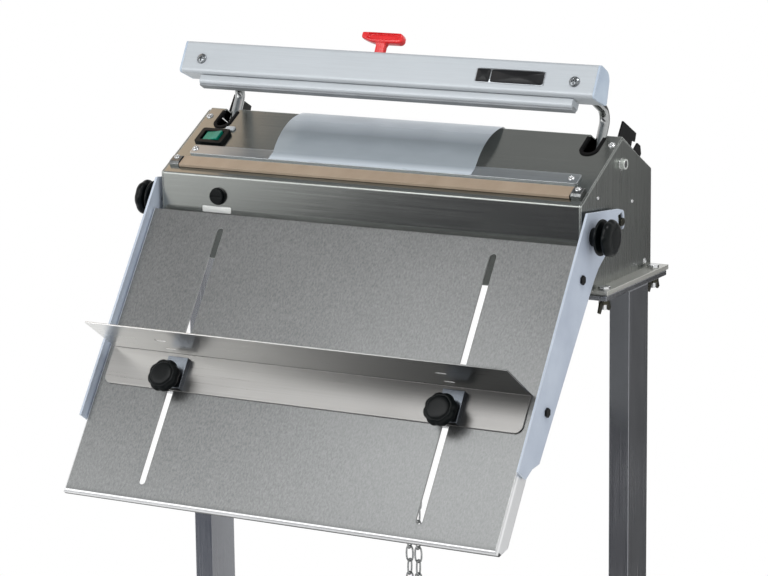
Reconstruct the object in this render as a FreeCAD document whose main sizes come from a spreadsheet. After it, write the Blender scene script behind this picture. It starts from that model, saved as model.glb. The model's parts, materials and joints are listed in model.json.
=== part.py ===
"""Impulse heat sealer on a two-leg stand, with a tilting worktable and a foot pedal.

Millimetres, +Z up, +X to the operator's right, the operator stands at -Y.
The origin is on the floor, in the middle of the two feet.

Five frames carry the sub-parts. "floor" is the origin itself. "machine" sits at the middle
of the housing's front top edge. "plate" is the machine frame turned so that its Y runs up
the sealing plate. "arm" sits on the main shaft, turned as far as the arm is open. "table"
lies in the worktable's surface, with its Y running up the slope.
"""
import FreeCAD, Part
import math
import os
import re

import Sketcher
from FreeCAD import Placement, Rotation, Vector

DIMENSIONS = {
    # Housing
    "edge_height": 900, "edge_y": -45, "housing_width": 520,
    "plate_length": 117.5, "plate_slope": 28.75, "back_y": 178, "back_z": 13.5,
    "base_drop": 94, "skin": 1.5, "panel": 2, "bend": 2.5, "ridge_lap": 3.8,
    # Lever slots, each with its edging
    "slot_front": 75.7, "slot_back": 121, "slot_width": 18,
    "edging": 1.2, "edging_gap": 0.9, "edging_lip": 1, "edging_reach": 2,
    # Main shaft and lever rods
    "shaft_up": 102, "shaft_depth": 22, "shaft_radius": 6, "open_angle": 57.9, "fit": 0.05,
    "lever_x": 230, "rod_radius": 5.7, "rod_rise": 57, "rod_bend": 16, "hub_radius": 12,
    "stub_radius": 4, "shaft_cap_radius": 5.6, "shaft_cap_height": 5,
    # Sealing arm
    "arm_length": 514, "arm_front": -94.4, "arm_depth": 34.5, "arm_low": 37.9, "arm_tall": 37.8,
    "arm_wall": 2, "cap": 2.5, "arm_crown": 13, "arm_lean": 8, "face_screw_x": 231, "face_screw_up": 16.6,
    "face_screw_radius": 5.3, "face_screw_head": 3,
    "jaw_length": 462, "jaw_middle": -80.7, "jaw_width": 16, "jaw_low": 28, "jaw_round": 4.4,
    "strip_width": 10, "strip_groove": 3, "strip_low": 26.3,
    "handle_middle": -78, "handle_thick": 12, "handle_left": -43.5, "handle_right": 9.5,
    "stem_left": -23, "stem_right": -11.4, "stem_thick": 7, "handle_under": 91, "handle_top": 103,
    "stem_foot": 62,
    # Crank, armatures and magnets
    "crank_x": 23.5, "crank_reach": 37.5, "crank_droop": 10, "crank_thick": 4, "crank_eye": 6.5,
    "crank_pin": 2.4, "armature_x": 165, "armature_reach": 75, "armature_plate": 40,
    "magnet_radius": 19, "magnet_length": 26, "magnet_foot": 170,
    # Sealing bar and film guide, measured up the plate
    "seal_length": 484, "seal_front": 10.4, "seal_back": 26.6, "seal_top": 4, "cloth": 0.4,
    "bar_height": 3.2, "band_width": 5, "band_thick": 0.25,
    "guide_length": 482, "guide_front": 33.5, "guide_back": 49.5, "guide_thick": 2.5,
    "clamp_end": 255, "clamp_front": 11, "clamp_back": 26, "clamp_height": 5.5,
    # Switch and fuse
    "switch_x": -227, "switch_up": 65.5, "switch_long": 36, "switch_wide": 26,
    "switch_rim": 4.5, "switch_body_long": 29.6, "switch_body_wide": 18.6, "switch_depth": 22,
    "window_long": 25.2, "window_wide": 15.8, "window_depth": 9,
    "rocker_half": 10.6, "rocker_wide": 14.8, "rocker_pin": 1.5,
    "fuse_x": -185.6, "fuse_z": -22.6, "fuse_flange": 9.8, "fuse_body": 7, "fuse_shank": 5,
    # Worktable
    "table_y": 9.9, "table_z": -6.8, "table_tilt": 55.5, "table_width": 528,
    "table_top": -40, "table_end": -381, "table_flange": 21, "table_hem": 7, "table_bend": 3,
    "table_slot_x": 169, "table_slot_top": -57, "table_slot_end": -361, "table_slot_width": 7.8,
    "tilt_y": -21.2, "tilt_z": -15.9, "stud_radius": 4, "arm_plate": 2.5, "arm_inner": 265.5,
    "arm_proud": 9, "arm_end": -295,
    "guide_reach": 70.2, "guide_angle": -52, "guide_rise": 7.4, "guide_sweep": 30, "guide_slot": 11,
    "guide_bolt": 4.2,
    "table_screw_upper": -70, "table_screw_lower": -219, "table_screw_depth": -18,
    # Product stop
    "stop_width": 512, "stop_fold": -209.5, "stop_leaf": -252, "stop_tall": 68.5, "stop_lift": 0.3,
    "stop_corner": 9, "star_y": -242.5, "star_radius": 18.4, "star_base": 9.7, "star_top": 29,
    "clip_left": 9.4, "clip_right": 15.8, "clip_upper": -215.5, "clip_lower": -251, "clip_top": 9.5,
    "shelf_slot_x": 171, "shelf_slot_shift": -4.5, "shelf_slot_low": 15, "shelf_slot_high": 38,
    "shelf_slot_long": 13.5, "shelf_slot_wide": 4,
    # Side clamp knobs
    "knob_radius": 20, "knob_disc": 19.5, "knob_skirt": 8.5, "knob_neck": 8,
    "knob_inner": 16, "knob_outer": 27,
    # Stand
    "bar_thick": 5, "bar_inner": 238, "bar_outer": 277, "bar_front": 28, "bar_back": 188,
    "bolt_x": 269, "bolt_front": 38, "bolt_back": 165, "bolt_radius": 3, "bolt_head": 6,
    "leg_inner": 256, "leg_wide": 23, "leg_front": 80, "leg_deep": 49, "tube_wall": 2,
    "foot_half": 266, "foot_low": 12, "foot_tall": 40, "foot_cap": 4, "pad_radius": 14, "pad_y": 235,
    "cross_low": 150, "cross_tall": 40, "cross_front": 47.5, "cross_deep": 24,
    # Pedal and chain
    "pedal_y": 100, "pedal_z": 120, "pedal_pin": 5, "ear_half": 24, "ear_thick": 4,
    "lever_half": 12, "lever_thick": 12, "tread_front": -195, "tread_back": -115, "tread_half": 65,
    "tread_thick": 4, "hook_y": 18.1, "hook_z": 142, "hook_pin": 2.5,
    "link_long": 20.4, "link_wide": 10.5, "link_wire": 2.2, "link_pitch": 15.3,
    "strand_x": 5.5, "main_pairs": 25, "spare_pairs": 16, "shackle_wide": 18, "shackle_wire": 3,
    # Film sheet and rear brackets
    "film_x": -10.4, "film_width": 253, "film_thick": 0.4, "film_bulge": 11.5, "film_tail": 52,
    "bracket_left": 247, "bracket_right": 242, "bracket_thick": 2,
}

doc = FreeCAD.newDocument("heat_sealer")
sheet = doc.addObject("Spreadsheet::Sheet", "dims")
for row, (alias, number) in enumerate(DIMENSIONS.items(), start=1):
    sheet.set("A%d" % row, alias)
    sheet.set("B%d" % row, str(number))
    sheet.setAlias("B%d" % row, alias)
doc.recompute()

SIDES = {"left": -1, "right": 1}
nodes = []

# Places worked out from the driving dimensions
RIDGE_Y = "plate_length * cos(plate_slope)"
RIDGE_Z = "plate_length * sin(plate_slope)"
LAP_Y = "(plate_length + ridge_lap) * cos(plate_slope)"
LAP_Z = "(plate_length + ridge_lap) * sin(plate_slope)"
SHAFT_Y = "(shaft_up * cos(plate_slope) + shaft_depth * sin(plate_slope))"
SHAFT_Z = "(shaft_up * sin(plate_slope) - shaft_depth * cos(plate_slope))"
HALF = "housing_width / 2"
ARM_BACK = "(arm_front + arm_depth)"
ARM_TOP = "(arm_low + arm_tall)"
CRANK_TURN = "(crank_droop + open_angle - plate_slope)"
LEG_OUTER = "(leg_inner + leg_wide)"
FOOT_TOP = "(foot_low + foot_tall)"
BAR_LOW = "(base_drop + bar_thick)"
PLATE_LOW = "(base_drop + 2 * bar_thick)"
FLOOR = "(panel - base_drop)"

FRAMES = {
    "floor": ("0", "0", "0"),
    "machine": ("edge_y", "edge_height", "0"),
    "plate": ("edge_y", "edge_height", "plate_slope"),
    "arm": ("edge_y + " + SHAFT_Y, "edge_height + " + SHAFT_Z, "(plate_slope - open_angle)"),
    "table": ("edge_y + table_y", "edge_height + table_z", "table_tilt"),
}


def value(text):
    """The number that an expression on the sheet's names gives."""
    return float(sheet.evalExpression(str(text)))


def bind(thing, prop, text):
    """Drive a property from the sheet: every known name in the text becomes a cell."""
    known = lambda word: "dims." + word[0] if word[0] in DIMENSIONS else word[0]
    thing.setExpression(prop, re.sub(r"[a-z]\w*", known, str(text)))


def place(thing, frame, x="0", y="0", z="0"):
    """Put an object's own origin at x, y, z of a frame, turned with that frame about X."""
    base_y, base_z, turn = FRAMES[frame]
    thing.Placement = Placement(Vector(), Rotation(Vector(1, 0, 0), value(turn)))
    bind(thing, "Placement.Base.x", x)
    bind(thing, "Placement.Base.y", f"{base_y} + ({y}) * cos({turn}) - ({z}) * sin({turn})")
    bind(thing, "Placement.Base.z", f"{base_z} + ({y}) * sin({turn}) + ({z}) * cos({turn})")
    if turn != "0":
        bind(thing, "Placement.Rotation.Angle", turn)


def body(label, frame="machine", x="0", y="0", z="0"):
    """New sub-part that stands in a frame."""
    made = doc.addObject("PartDesign::Body", label)
    made.Label = label
    place(made, frame, x, y, z)
    nodes.append(made)
    return made


def origin_feature(owner, role):
    return next(item for item in owner.Origin.OriginFeatures if item.Role == role)


def new_sketch(owner, plane, loops, offset="0"):
    """Sketch on an origin plane of its body, moved along the plane's normal, holding the loops."""
    drawing = owner.newObject("Sketcher::SketchObject", owner.Name + "_sketch")
    drawing.AttachmentSupport = [(origin_feature(owner, plane + "_Plane"), "")]
    drawing.MapMode = "FlatFace"
    bind(drawing, "AttachmentOffset.Base.z", offset)
    for loop in loops:
        loop(drawing)
    return drawing


def pin_point(drawing, geometry, point, x, y):
    """Hold a point of a sketch at the place that two expressions give."""
    for kind, text in (("DistanceX", x), ("DistanceY", y)):
        number = drawing.addConstraint(Sketcher.Constraint(kind, geometry, point, value(text)))
        bind(drawing, f"Constraints[{number}]", text)


def polygon(points):
    """Closed loop of straight sides through the points."""
    def draw(drawing):
        first = drawing.GeometryCount
        places = [Vector(value(x), value(y), 0) for x, y in points]
        ends = places[1:] + places[:1]
        drawing.addGeometry([Part.LineSegment(a, b) for a, b in zip(places, ends)])
        for number, (x, y) in enumerate(points):
            after = first + (number + 1) % len(points)
            drawing.addConstraint(Sketcher.Constraint("Coincident", first + number, 2, after, 1))
            pin_point(drawing, first + number, 1, x, y)
    return draw


def rectangle(x0, y0, x1, y1):
    return polygon([(x0, y0), (x1, y0), (x1, y1), (x0, y1)])


def circle(x, y, radius):
    def draw(drawing):
        centre = Vector(value(x), value(y), 0)
        number = drawing.addGeometry(Part.Circle(centre, Vector(0, 0, 1), value(radius)))
        pin_point(drawing, number, 3, x, y)
        size = drawing.addConstraint(Sketcher.Constraint("Radius", number, value(radius)))
        bind(drawing, f"Constraints[{size}]", radius)
    return draw


def slot(x, low, high, width):
    """Upright slot with round ends, from its lowest to its highest point."""
    def draw(drawing):
        first = drawing.GeometryCount
        radius = value(width) / 2
        middle = value(x)
        top = Vector(middle, value(high) - radius, 0)
        foot = Vector(middle, value(low) + radius, 0)
        out = Vector(radius, 0, 0)
        normal = Vector(0, 0, 1)
        drawing.addGeometry([
            Part.ArcOfCircle(Part.Circle(top, normal, radius), 0, math.pi),
            Part.LineSegment(top - out, foot - out),
            Part.ArcOfCircle(Part.Circle(foot, normal, radius), math.pi, 2 * math.pi),
            Part.LineSegment(foot + out, top + out),
        ])
        for number in range(4):
            after = first + (number + 1) % 4
            drawing.addConstraint(Sketcher.Constraint("Tangent", first + number, 2, after, 1))
        pin_point(drawing, first, 3, x, f"{high} - ({width}) / 2")
        pin_point(drawing, first + 2, 3, x, f"{low} + ({width}) / 2")
        size = drawing.addConstraint(Sketcher.Constraint("Radius", first, radius))
        bind(drawing, f"Constraints[{size}]", f"({width}) / 2")
    return draw


def hexagon(y, z, flat):
    """Six-sided loop, given across its flats, with a corner pointing up."""
    corners = [(f"{y} + {flat} / sqrt(3) * sin({60 * k})", f"{z} + {flat} / sqrt(3) * cos({60 * k})")
               for k in range(6)]
    return polygon(corners)


def octagon(x, y, radius):
    """Eight-sided loop, given by its inner radius, for hidden shanks and the holes that they fill."""
    half = f"({radius}) * tan(22.5)"
    corners = [(f"{x} + {sx} * ({radius})", f"{y} + {sy} * {half}") for sx, sy in ((1, -1), (1, 1))]
    corners += [(f"{x} + {sx} * {half}", f"{y} + ({radius})") for sx in (1, -1)]
    corners += [(f"{x} - ({radius})", f"{y} + {sy} * {half}") for sy in (1, -1)]
    corners += [(f"{x} + {sx} * {half}", f"{y} - ({radius})") for sx in (-1, 1)]
    return polygon(corners)


def facets(x, y, radius, count):
    """Many-sided loop, given by its outer radius, for a round rod or disc."""
    return polygon([(f"{x} + ({radius}) * cos({360 * k / count})",
                     f"{y} + ({radius}) * sin({360 * k / count})") for k in range(count)])


def lobes(radius, depth, count):
    """Knob rim with evenly spaced hollows: four corners to a lobe."""
    corners = []
    for k in range(count):
        for share, hollow in ((0, 1), (0.24, 0.3), (0.5, 0), (0.76, 0.3)):
            reach = f"({radius} - {hollow} * {depth})"
            turn = round(360 * (k + share) / count, 3)
            corners.append((f"{reach} * cos({turn})", f"{reach} * sin({turn})"))
    return polygon(corners)


def pad(owner, plane, loops, low, high):
    """Add the solid that the loops sweep from low to high along the third axis."""
    offset = f"-({high})" if plane == "XZ" else low
    feature = owner.newObject("PartDesign::Pad", owner.Name + "_pad")
    feature.Profile = new_sketch(owner, plane, loops, offset)
    bind(feature, "Length", f"({high}) - ({low})")
    doc.recompute()
    return feature


def cut(owner, plane, loops, low, high):
    """Take away what the loops sweep from low to high along the third axis."""
    offset = f"-({low})" if plane == "XZ" else high
    feature = owner.newObject("PartDesign::Pocket", owner.Name + "_pocket")
    feature.Profile = new_sketch(owner, plane, loops, offset)
    bind(feature, "Length", f"({high}) - ({low})")
    doc.recompute()
    return feature


def cut_plate(owner, loops, depth):
    """Take away what the loops, drawn in the sealing plate's own plane, sweep to both sides."""
    feature = owner.newObject("PartDesign::Pocket", owner.Name + "_pocket")
    drawing = new_sketch(owner, "XY", loops)
    drawing.AttachmentOffset = Placement(Vector(), Rotation(Vector(1, 0, 0), value("plate_slope")))
    bind(drawing, "AttachmentOffset.Rotation.Angle", "plate_slope")
    feature.Profile = drawing
    feature.SideType = "Symmetric"
    bind(feature, "Length", depth)
    doc.recompute()
    return feature


def round_edges(owner, radius, chosen):
    """Fillet the edges of a body for which chosen(middle point, edge) holds."""
    doc.recompute()
    tip = owner.Tip
    names = []
    for number, edge in enumerate(tip.Shape.Edges, start=1):
        middle = edge.valueAt((edge.FirstParameter + edge.LastParameter) / 2)
        if chosen(middle, edge):
            names.append(f"Edge{number}")
    feature = owner.newObject("PartDesign::Fillet", owner.Name + "_fillet")
    feature.Base = (tip, names)
    bind(feature, "Radius", radius)
    doc.recompute()
    return feature


def shell(owner, wall, opened):
    """Hollow a body out to a wall, open at the faces for which opened(normal) holds."""
    tip = owner.Tip
    names = [f"Face{number}" for number, face in enumerate(tip.Shape.Faces, start=1)
             if opened(face.normalAt(0, 0))]
    feature = owner.newObject("PartDesign::Thickness", owner.Name + "_shell")
    feature.Base = (tip, names)
    feature.Reversed = True
    feature.Join = "Intersection"
    bind(feature, "Value", wall)
    doc.recompute()
    return feature


def along_x(edge):
    return abs(edge.Vertexes[-1].Point.x - edge.Vertexes[0].Point.x) > value("panel") / 2


def near(point, y, z):
    """Whether a point lies on the line parallel to X at y, z."""
    return abs(point.y - value(y)) < 0.2 and abs(point.z - value(z)) < 0.2


def mirrored(low, high, side):
    """The stretch low to high on the right side, or its mirror image on the left."""
    return (low, high) if side > 0 else (f"-({high})", f"-({low})")


# Housing

def house(owner, ridge_y, ridge_z, low, high):
    """The housing's side outline, swept along X, with its three upper bends rounded."""
    bends = [("0", "0"), (ridge_y, ridge_z), ("back_y", "back_z")]
    pad(owner, "YZ", [polygon([("0", "-base_drop"), *bends, ("back_y", "-base_drop")])], low, high)
    round_edges(owner, "bend", lambda middle, edge: along_x(edge) and any(
        near(middle, y, z) for y, z in bends))


def housing_cover():
    made = body("housing_cover")
    house(made, LAP_Y, LAP_Z, f"-({HALF} - panel)", f"{HALF} - panel")
    shell(made, "skin", lambda normal: abs(normal.x) > 0.9 or normal.z < -0.9)
    cut(made, "XY", [slot(f"{side} * lever_x", "slot_front", "slot_back", "slot_width")
                     for side in SIDES.values()], "0", "edge_height / 10")
    half_long = "(switch_body_long / 2 + 0.4)"
    half_wide = "(switch_body_wide / 2 + 0.4)"
    cut_plate(made, [rectangle(f"switch_x - {half_long}", f"switch_up - {half_wide}",
                               f"switch_x + {half_long}", f"switch_up + {half_wide}")], "6 * skin")
    cut(made, "XZ", [octagon("fuse_x", "fuse_z", "fuse_body + 0.2")], "-skin", "2 * skin")


def side_panel(name, side):
    made = body("side_panel_" + name)
    low, high = mirrored(f"{HALF} - panel", HALF, side)
    house(made, RIDGE_Y, RIDGE_Z, low, high)
    cut(made, "YZ", [octagon(SHAFT_Y, SHAFT_Z, "shaft_radius + 0.3")], low, high)
    cut(made, "YZ", [circle(TILT_Y, TILT_Z, "stud_radius + fit")], low, high)
    cut(made, "YZ", [octagon(BOLT_Y, BOLT_Z, "stud_radius + fit")], low, high)


# The table's clamp axis and guide bolt, seen from the machine frame
TILT_Y = "(table_y + tilt_y * cos(table_tilt) - tilt_z * sin(table_tilt))"
TILT_Z = "(table_z + tilt_y * sin(table_tilt) + tilt_z * cos(table_tilt))"
BOLT_Y = f"({TILT_Y} + guide_reach * cos(guide_angle + table_tilt))"
BOLT_Z = f"({TILT_Z} + guide_reach * sin(guide_angle + table_tilt))"


def base_plate():
    made = body("base_plate")
    pad(made, "XY", [rectangle(f"-({HALF} - panel)", "skin", f"{HALF} - panel", "back_y - skin")],
        "-base_drop", "-base_drop + panel")
    cut(made, "XY", [rectangle("crank_x - 16", "54", "crank_x + 16", "94")],
        "-base_drop - 1", "-base_drop + panel + 1")


def slot_liners():
    """Rubber edging round the plate's part of each lever slot, open towards the ridge."""
    made = body("slot_liners", "plate")
    front = "slot_front / cos(plate_slope)"
    wide = "slot_width - 0.2"
    far = f"{front} + 50"
    lips, walls = [], []
    for side in SIDES.values():
        x = f"{side} * lever_x"
        bore = slot(x, f"{front} + edging_gap + edging", f"{far} - edging", f"{wide} - 2 * edging")
        walls += [slot(x, f"{front} + edging_gap", far, wide), bore]
        rim = slot(x, f"{front} - edging_reach", f"{far} + edging_reach", "slot_width + 2 * edging_reach")
        lips += [rim, bore]
    pad(made, "XY", walls, "-2 * skin", "0")
    pad(made, "XY", lips, "0", "edging_lip")
    past = "plate_length + ridge_lap - 2 * bend"
    wide = "lever_x + 2 * slot_width"
    cut(made, "XY", [rectangle(f"-({wide})", past, wide, f"{past} + 60")], "-3 * skin", "2 * edging_lip")


def seal_bar():
    base = body("seal_base_bar", "plate")
    pad(base, "YZ", [rectangle("seal_front + 1.5 * cloth", "0", "seal_back - 1.5 * cloth", "bar_height")],
        "-seal_length / 2 + 1", "seal_length / 2 - 1")
    band = body("heating_element", "plate")
    middle = "(seal_front + seal_back) / 2"
    pad(band, "YZ", [rectangle(f"{middle} - band_width / 2", "bar_height",
                               f"{middle} + band_width / 2", "bar_height + band_thick")],
        "-seal_length / 2 - 1", "seal_length / 2 + 1")
    cover = body("ptfe_strip", "plate")
    pad(cover, "YZ", [polygon([
        ("seal_front", "cloth"), ("seal_front", "seal_top"), ("seal_back", "seal_top"),
        ("seal_back", "cloth"), ("seal_back - cloth", "cloth"), ("seal_back - cloth", "seal_top - cloth"),
        ("seal_front + cloth", "seal_top - cloth"), ("seal_front + cloth", "cloth")])],
        "-seal_length / 2", "seal_length / 2")


def film_guide_strip():
    made = body("film_guide_strip", "plate")
    pad(made, "XY", [rectangle("-guide_length / 2", "guide_front", "guide_length / 2", "guide_back")],
        "0", "guide_thick")
    upright = lambda middle, edge: abs(middle.z - value("guide_thick") / 2) < 0.1
    round_edges(made, "guide_thick", upright)


def element_clamps():
    made = body("element_clamps", "plate")
    for side in SIDES.values():
        low, high = mirrored("seal_length / 2 + 1.2", "clamp_end", side)
        pad(made, "YZ", [polygon([
            ("clamp_front", "0"), ("clamp_front", "clamp_height - 2"), ("clamp_front + 3", "clamp_height"),
            ("clamp_back - 3", "clamp_height"), ("clamp_back", "clamp_height - 2"), ("clamp_back", "0")])],
            low, high)


def cover_screws():
    """Screw heads on the plate, the guide strip and the clamps, and rivets on the side panels."""
    made = body("cover_screws", "plate")
    pad(made, "XY", [facets(x, "105", "4", 12) for x in ("-252.5", "252.5")], "0", "2.2")
    pad(made, "XY", [facets(x, "42", "3.6", 12) for x in ("-237", "232")], "guide_thick", "guide_thick + 2")
    pad(made, "XY", [hexagon(f"{side} * 249", "21", "6") for side in SIDES.values()],
        "clamp_height", "clamp_height + 1.8")
    for side in SIDES.values():
        low, high = mirrored(HALF, f"{HALF} + 1.2", side)
        pad(made, "YZ", [octagon("40.6", "2.3", "1.8"), octagon("127.7", "-14.8", "1.8"),
                         octagon("162", "-87", "3.2")], low, high)


# Shaft, levers and sealing arm

def collar(owner, y, z, outer, inner, low, high):
    """Eight-sided hub clamped on a shaft that runs along X."""
    pad(owner, "YZ", [octagon(y, z, outer), octagon(y, z, inner)], low, high)


def shaft_bushes():
    made = body("shaft_bushes")
    for side in SIDES.values():
        low, high = mirrored(f"{HALF} - 10", f"{HALF} - panel", side)
        pad(made, "YZ", [octagon(SHAFT_Y, SHAFT_Z, "shaft_radius + 3"),
                         circle(SHAFT_Y, SHAFT_Z, "shaft_radius + fit")], low, high)


def main_shaft():
    made = body("main_shaft", "arm")
    pad(made, "YZ", [circle("0", "0", "shaft_radius")], f"-({HALF} + 0.3)", f"{HALF} + 0.3")
    pad(made, "YZ", [octagon("0", "0", "stub_radius")], f"-({HALF} + 5.2)", f"{HALF} + 5.2")


def shaft_caps():
    """Retaining caps on the shaft's ends."""
    made = body("shaft_caps", "arm")
    for side in SIDES.values():
        low, high = mirrored(f"{HALF} + 0.5", f"{HALF} + 0.5 + shaft_cap_height", side)
        pad(made, "YZ", [circle("0", "0", "shaft_cap_radius"), octagon("0", "0", "stub_radius + fit")],
            low, high)


def return_springs():
    """Torsion springs round the shaft, each as the plain sleeve that its turns fill."""
    made = body("return_springs")
    for side in SIDES.values():
        low, high = mirrored("80", "120", side)
        pad(made, "YZ", [octagon(SHAFT_Y, SHAFT_Z, "shaft_radius + 5"),
                         octagon(SHAFT_Y, SHAFT_Z, "shaft_radius + 2")], low, high)


def lever_rods():
    """On each side, a hub on the shaft with a rod that rises and bends forward into the arm."""
    made = body("lever_rods", "arm")
    for side in SIDES.values():
        lever(made, side)


def lever(made, side):
    low, high = mirrored("lever_x - 10", "lever_x + 10", side)
    collar(made, "0", "0", "hub_radius", "shaft_radius + fit", low, high)
    middle = f"{side} * lever_x"
    rod = "rod_radius"
    pad(made, "XY", [facets(middle, "0", rod, 12)], "shaft_radius + 2.5", "rod_rise - rod_bend")
    pad(made, "XZ", [facets(middle, "rod_rise", rod, 12)], f"{ARM_BACK} - 12", "-rod_bend")
    section = new_sketch(made, "XY", [facets(middle, "rod_bend", rod, 12)], "rod_rise - rod_bend")
    bind(section, "AttachmentOffset.Base.y", "-rod_bend")
    elbow = made.newObject("PartDesign::Revolution", made.Name + "_elbow")
    elbow.Profile = section
    elbow.ReferenceAxis = (section, ["H_Axis"])
    elbow.Angle = 90
    doc.recompute()


ARM_PROFILE = [("arm_front", "arm_low"), ("arm_front", ARM_TOP),
               (f"{ARM_BACK} - arm_lean", ARM_TOP), (ARM_BACK, "arm_low + 4")]
ARM_RADII = ("arm_wall + 2.4", "arm_wall + 1", "arm_crown", "arm_wall + 1.5")


def arm_solid(owner, low, high):
    """The arm's section swept along X: flat front, crowned back."""
    pad(owner, "YZ", [polygon(ARM_PROFILE)], low, high)
    for (y, z), radius in zip(ARM_PROFILE, ARM_RADII):
        round_edges(owner, radius, lambda middle, edge, y=y, z=z:
                    along_x(edge) and near(middle, y, z))


def sealing_arm():
    made = body("sealing_arm", "arm")
    arm_solid(made, "-(arm_length / 2 - cap)", "arm_length / 2 - cap")
    shell(made, "arm_wall", lambda normal: abs(normal.x) > 0.9)
    cut(made, "XZ", [octagon(f"{side} * lever_x", "rod_rise", "rod_radius + 0.1")
                     for side in SIDES.values()], f"{ARM_BACK} - 8", f"{ARM_BACK} + 4")
    half = "(stem_thick / 2 + 0.2)"
    cut(made, "XY", [rectangle("stem_left - 0.2", f"handle_middle - {half}",
                               "stem_right + 0.2", f"handle_middle + {half}")],
        f"{ARM_TOP} - 10", f"{ARM_TOP} + 1")


def arm_end_caps():
    made = body("arm_end_caps", "arm")
    for side in SIDES.values():
        low, high = mirrored("arm_length / 2 - cap", "arm_length / 2", side)
        pad(made, "YZ", [polygon(ARM_PROFILE)], low, high)
    for (y, z), radius in zip(ARM_PROFILE, ARM_RADII):
        round_edges(made, radius, lambda middle, edge, y=y, z=z:
                    along_x(edge) and near(middle, y, z))


def jaw():
    bar = body("jaw_bar", "arm")
    front = "(jaw_middle - jaw_width / 2)"
    back = "(jaw_middle + jaw_width / 2)"
    pad(bar, "YZ", [rectangle(front, "jaw_low", back, "arm_low")], "-jaw_length / 2", "jaw_length / 2")
    round_edges(bar, "jaw_round", lambda middle, edge: along_x(edge)
                and abs(middle.z - value("jaw_low")) < 0.1)
    half = "strip_width / 2"
    cut(bar, "YZ", [rectangle(f"jaw_middle - {half} - 0.1", "jaw_low - 1",
                              f"jaw_middle + {half} + 0.1", "jaw_low + strip_groove")],
        "-jaw_length / 2 - 1", "jaw_length / 2 + 1")
    strip = body("silicone_strip", "arm")
    pad(strip, "YZ", [rectangle(f"jaw_middle - {half}", "strip_low",
                                f"jaw_middle + {half}", "jaw_low + strip_groove")],
        "-jaw_length / 2", "jaw_length / 2")


def arm_handle():
    """T-shaped pull handle: a stem through the arm's top wall under a boat-shaped bar."""
    made = body("arm_handle", "arm")
    half = "stem_thick / 2"
    pad(made, "XY", [rectangle("stem_left", f"handle_middle - {half}",
                               "stem_right", f"handle_middle + {half}")], "stem_foot", "handle_under + 3")
    outline = [("stem_left - 1", "handle_under + 0.8"), ("handle_left + 2", "handle_top - 6"),
               ("handle_left", "handle_top - 3"), ("handle_left + 1", "handle_top"),
               ("handle_right - 6", "handle_top"), ("handle_right", "handle_top - 5"),
               ("handle_right - 0.5", "handle_under + 1.5"), ("handle_right - 3", "handle_under")]
    half = "handle_thick / 2"
    pad(made, "XZ", [polygon(outline)], f"handle_middle - {half}", f"handle_middle + {half}")
    over = value("handle_under") + 1.2
    across = lambda edge: abs(edge.Vertexes[-1].Point.y - edge.Vertexes[0].Point.y) > value("stem_thick") + 1
    round_edges(made, "1.2", lambda middle, edge: middle.z > over and across(edge))


def arm_screws():
    made = body("arm_screws", "arm")
    up = "arm_low + face_screw_up"
    pad(made, "XZ", [circle(f"{side} * face_screw_x", up, "face_screw_radius") for side in SIDES.values()],
        "arm_front - face_screw_head", "arm_front")


def pedal_crank():
    """Hub with a lever whose cross pin carries the chain."""
    made = body("pedal_crank", "arm")
    collar(made, "0", "0", "hub_radius - 1", "shaft_radius + fit", "crank_x - 7", "crank_x + 7")
    def beside(reach, across):
        return (f"-({reach}) * cos({CRANK_TURN}) + ({across}) * sin({CRANK_TURN})",
                f"-({reach}) * sin({CRANK_TURN}) - ({across}) * cos({CRANK_TURN})")
    eye = beside("crank_reach", "0")
    low, high = "crank_x - crank_thick / 2", "crank_x + crank_thick / 2"
    pad(made, "YZ", [polygon([beside("shaft_radius + 2", "7"), beside("crank_reach", "crank_eye - 1"),
                              beside("crank_reach", "1 - crank_eye"), beside("shaft_radius + 2", "-7")])],
        low, high)
    pad(made, "YZ", [octagon(*eye, "crank_eye")], low, high)
    pad(made, "YZ", [circle(*eye, "crank_pin")], "crank_x - strand_x - 3", "crank_x + strand_x + 3")


def armatures():
    """Levers on the shaft, each with the iron plate that its magnet holds."""
    made = body("armatures", "arm")
    for side in SIDES.values():
        low, high = mirrored("armature_x - 8", "armature_x + 8", side)
        collar(made, "0", "0", "hub_radius - 1", "shaft_radius + fit", low, high)
        low, high = mirrored("armature_x - 6", "armature_x + 6", side)
        pad(made, "YZ", [rectangle("-4", "-armature_reach", "4", "-(shaft_radius + 2)")], low, high)
        low, high = mirrored("armature_x - armature_plate / 2", "armature_x + armature_plate / 2", side)
        pad(made, "YZ", [rectangle("4", "-armature_reach", "10", "armature_plate - armature_reach")],
            low, high)


def seen_from_plate(y, z):
    """A place of the machine frame, given in the plate frame."""
    return (f"({y}) * cos(plate_slope) + ({z}) * sin(plate_slope)",
            f"({z}) * cos(plate_slope) - ({y}) * sin(plate_slope)")


def holding_magnets():
    """Round magnets behind the closed armatures, each on a bent bracket from the bottom plate."""
    made = body("holding_magnets", "plate")
    depth = "-(shaft_depth + armature_reach - armature_plate / 2)"
    face = "(shaft_up + 10.3)"
    back = f"({face} + magnet_length)"
    foot_y = "magnet_foot"
    for side in SIDES.values():
        middle = f"{side} * armature_x"
        pad(made, "XZ", [octagon(middle, depth, "magnet_radius")], face, back)
        pad(made, "YZ", [polygon([
            (back, f"{depth} + magnet_radius - 3"), (f"{back} + panel", f"{depth} + magnet_radius - 3"),
            (f"{back} + panel", f"{depth} - magnet_radius - 3"), seen_from_plate(foot_y, FLOOR),
            seen_from_plate(f"{foot_y} - panel", FLOOR), (back, f"{depth} - magnet_radius - 3")])],
            f"{middle} - magnet_radius - 3", f"{middle} + magnet_radius + 3")


# Electrics

def transformer():
    made = body("transformer")
    pad(made, "XY", [rectangle("-120", "40", "-40", "100")], FLOOR, f"{FLOOR} + 66")
    pad(made, "XY", [rectangle("-108", "33", "-52", "107")], f"{FLOOR} + 12", f"{FLOOR} + 54")


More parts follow.
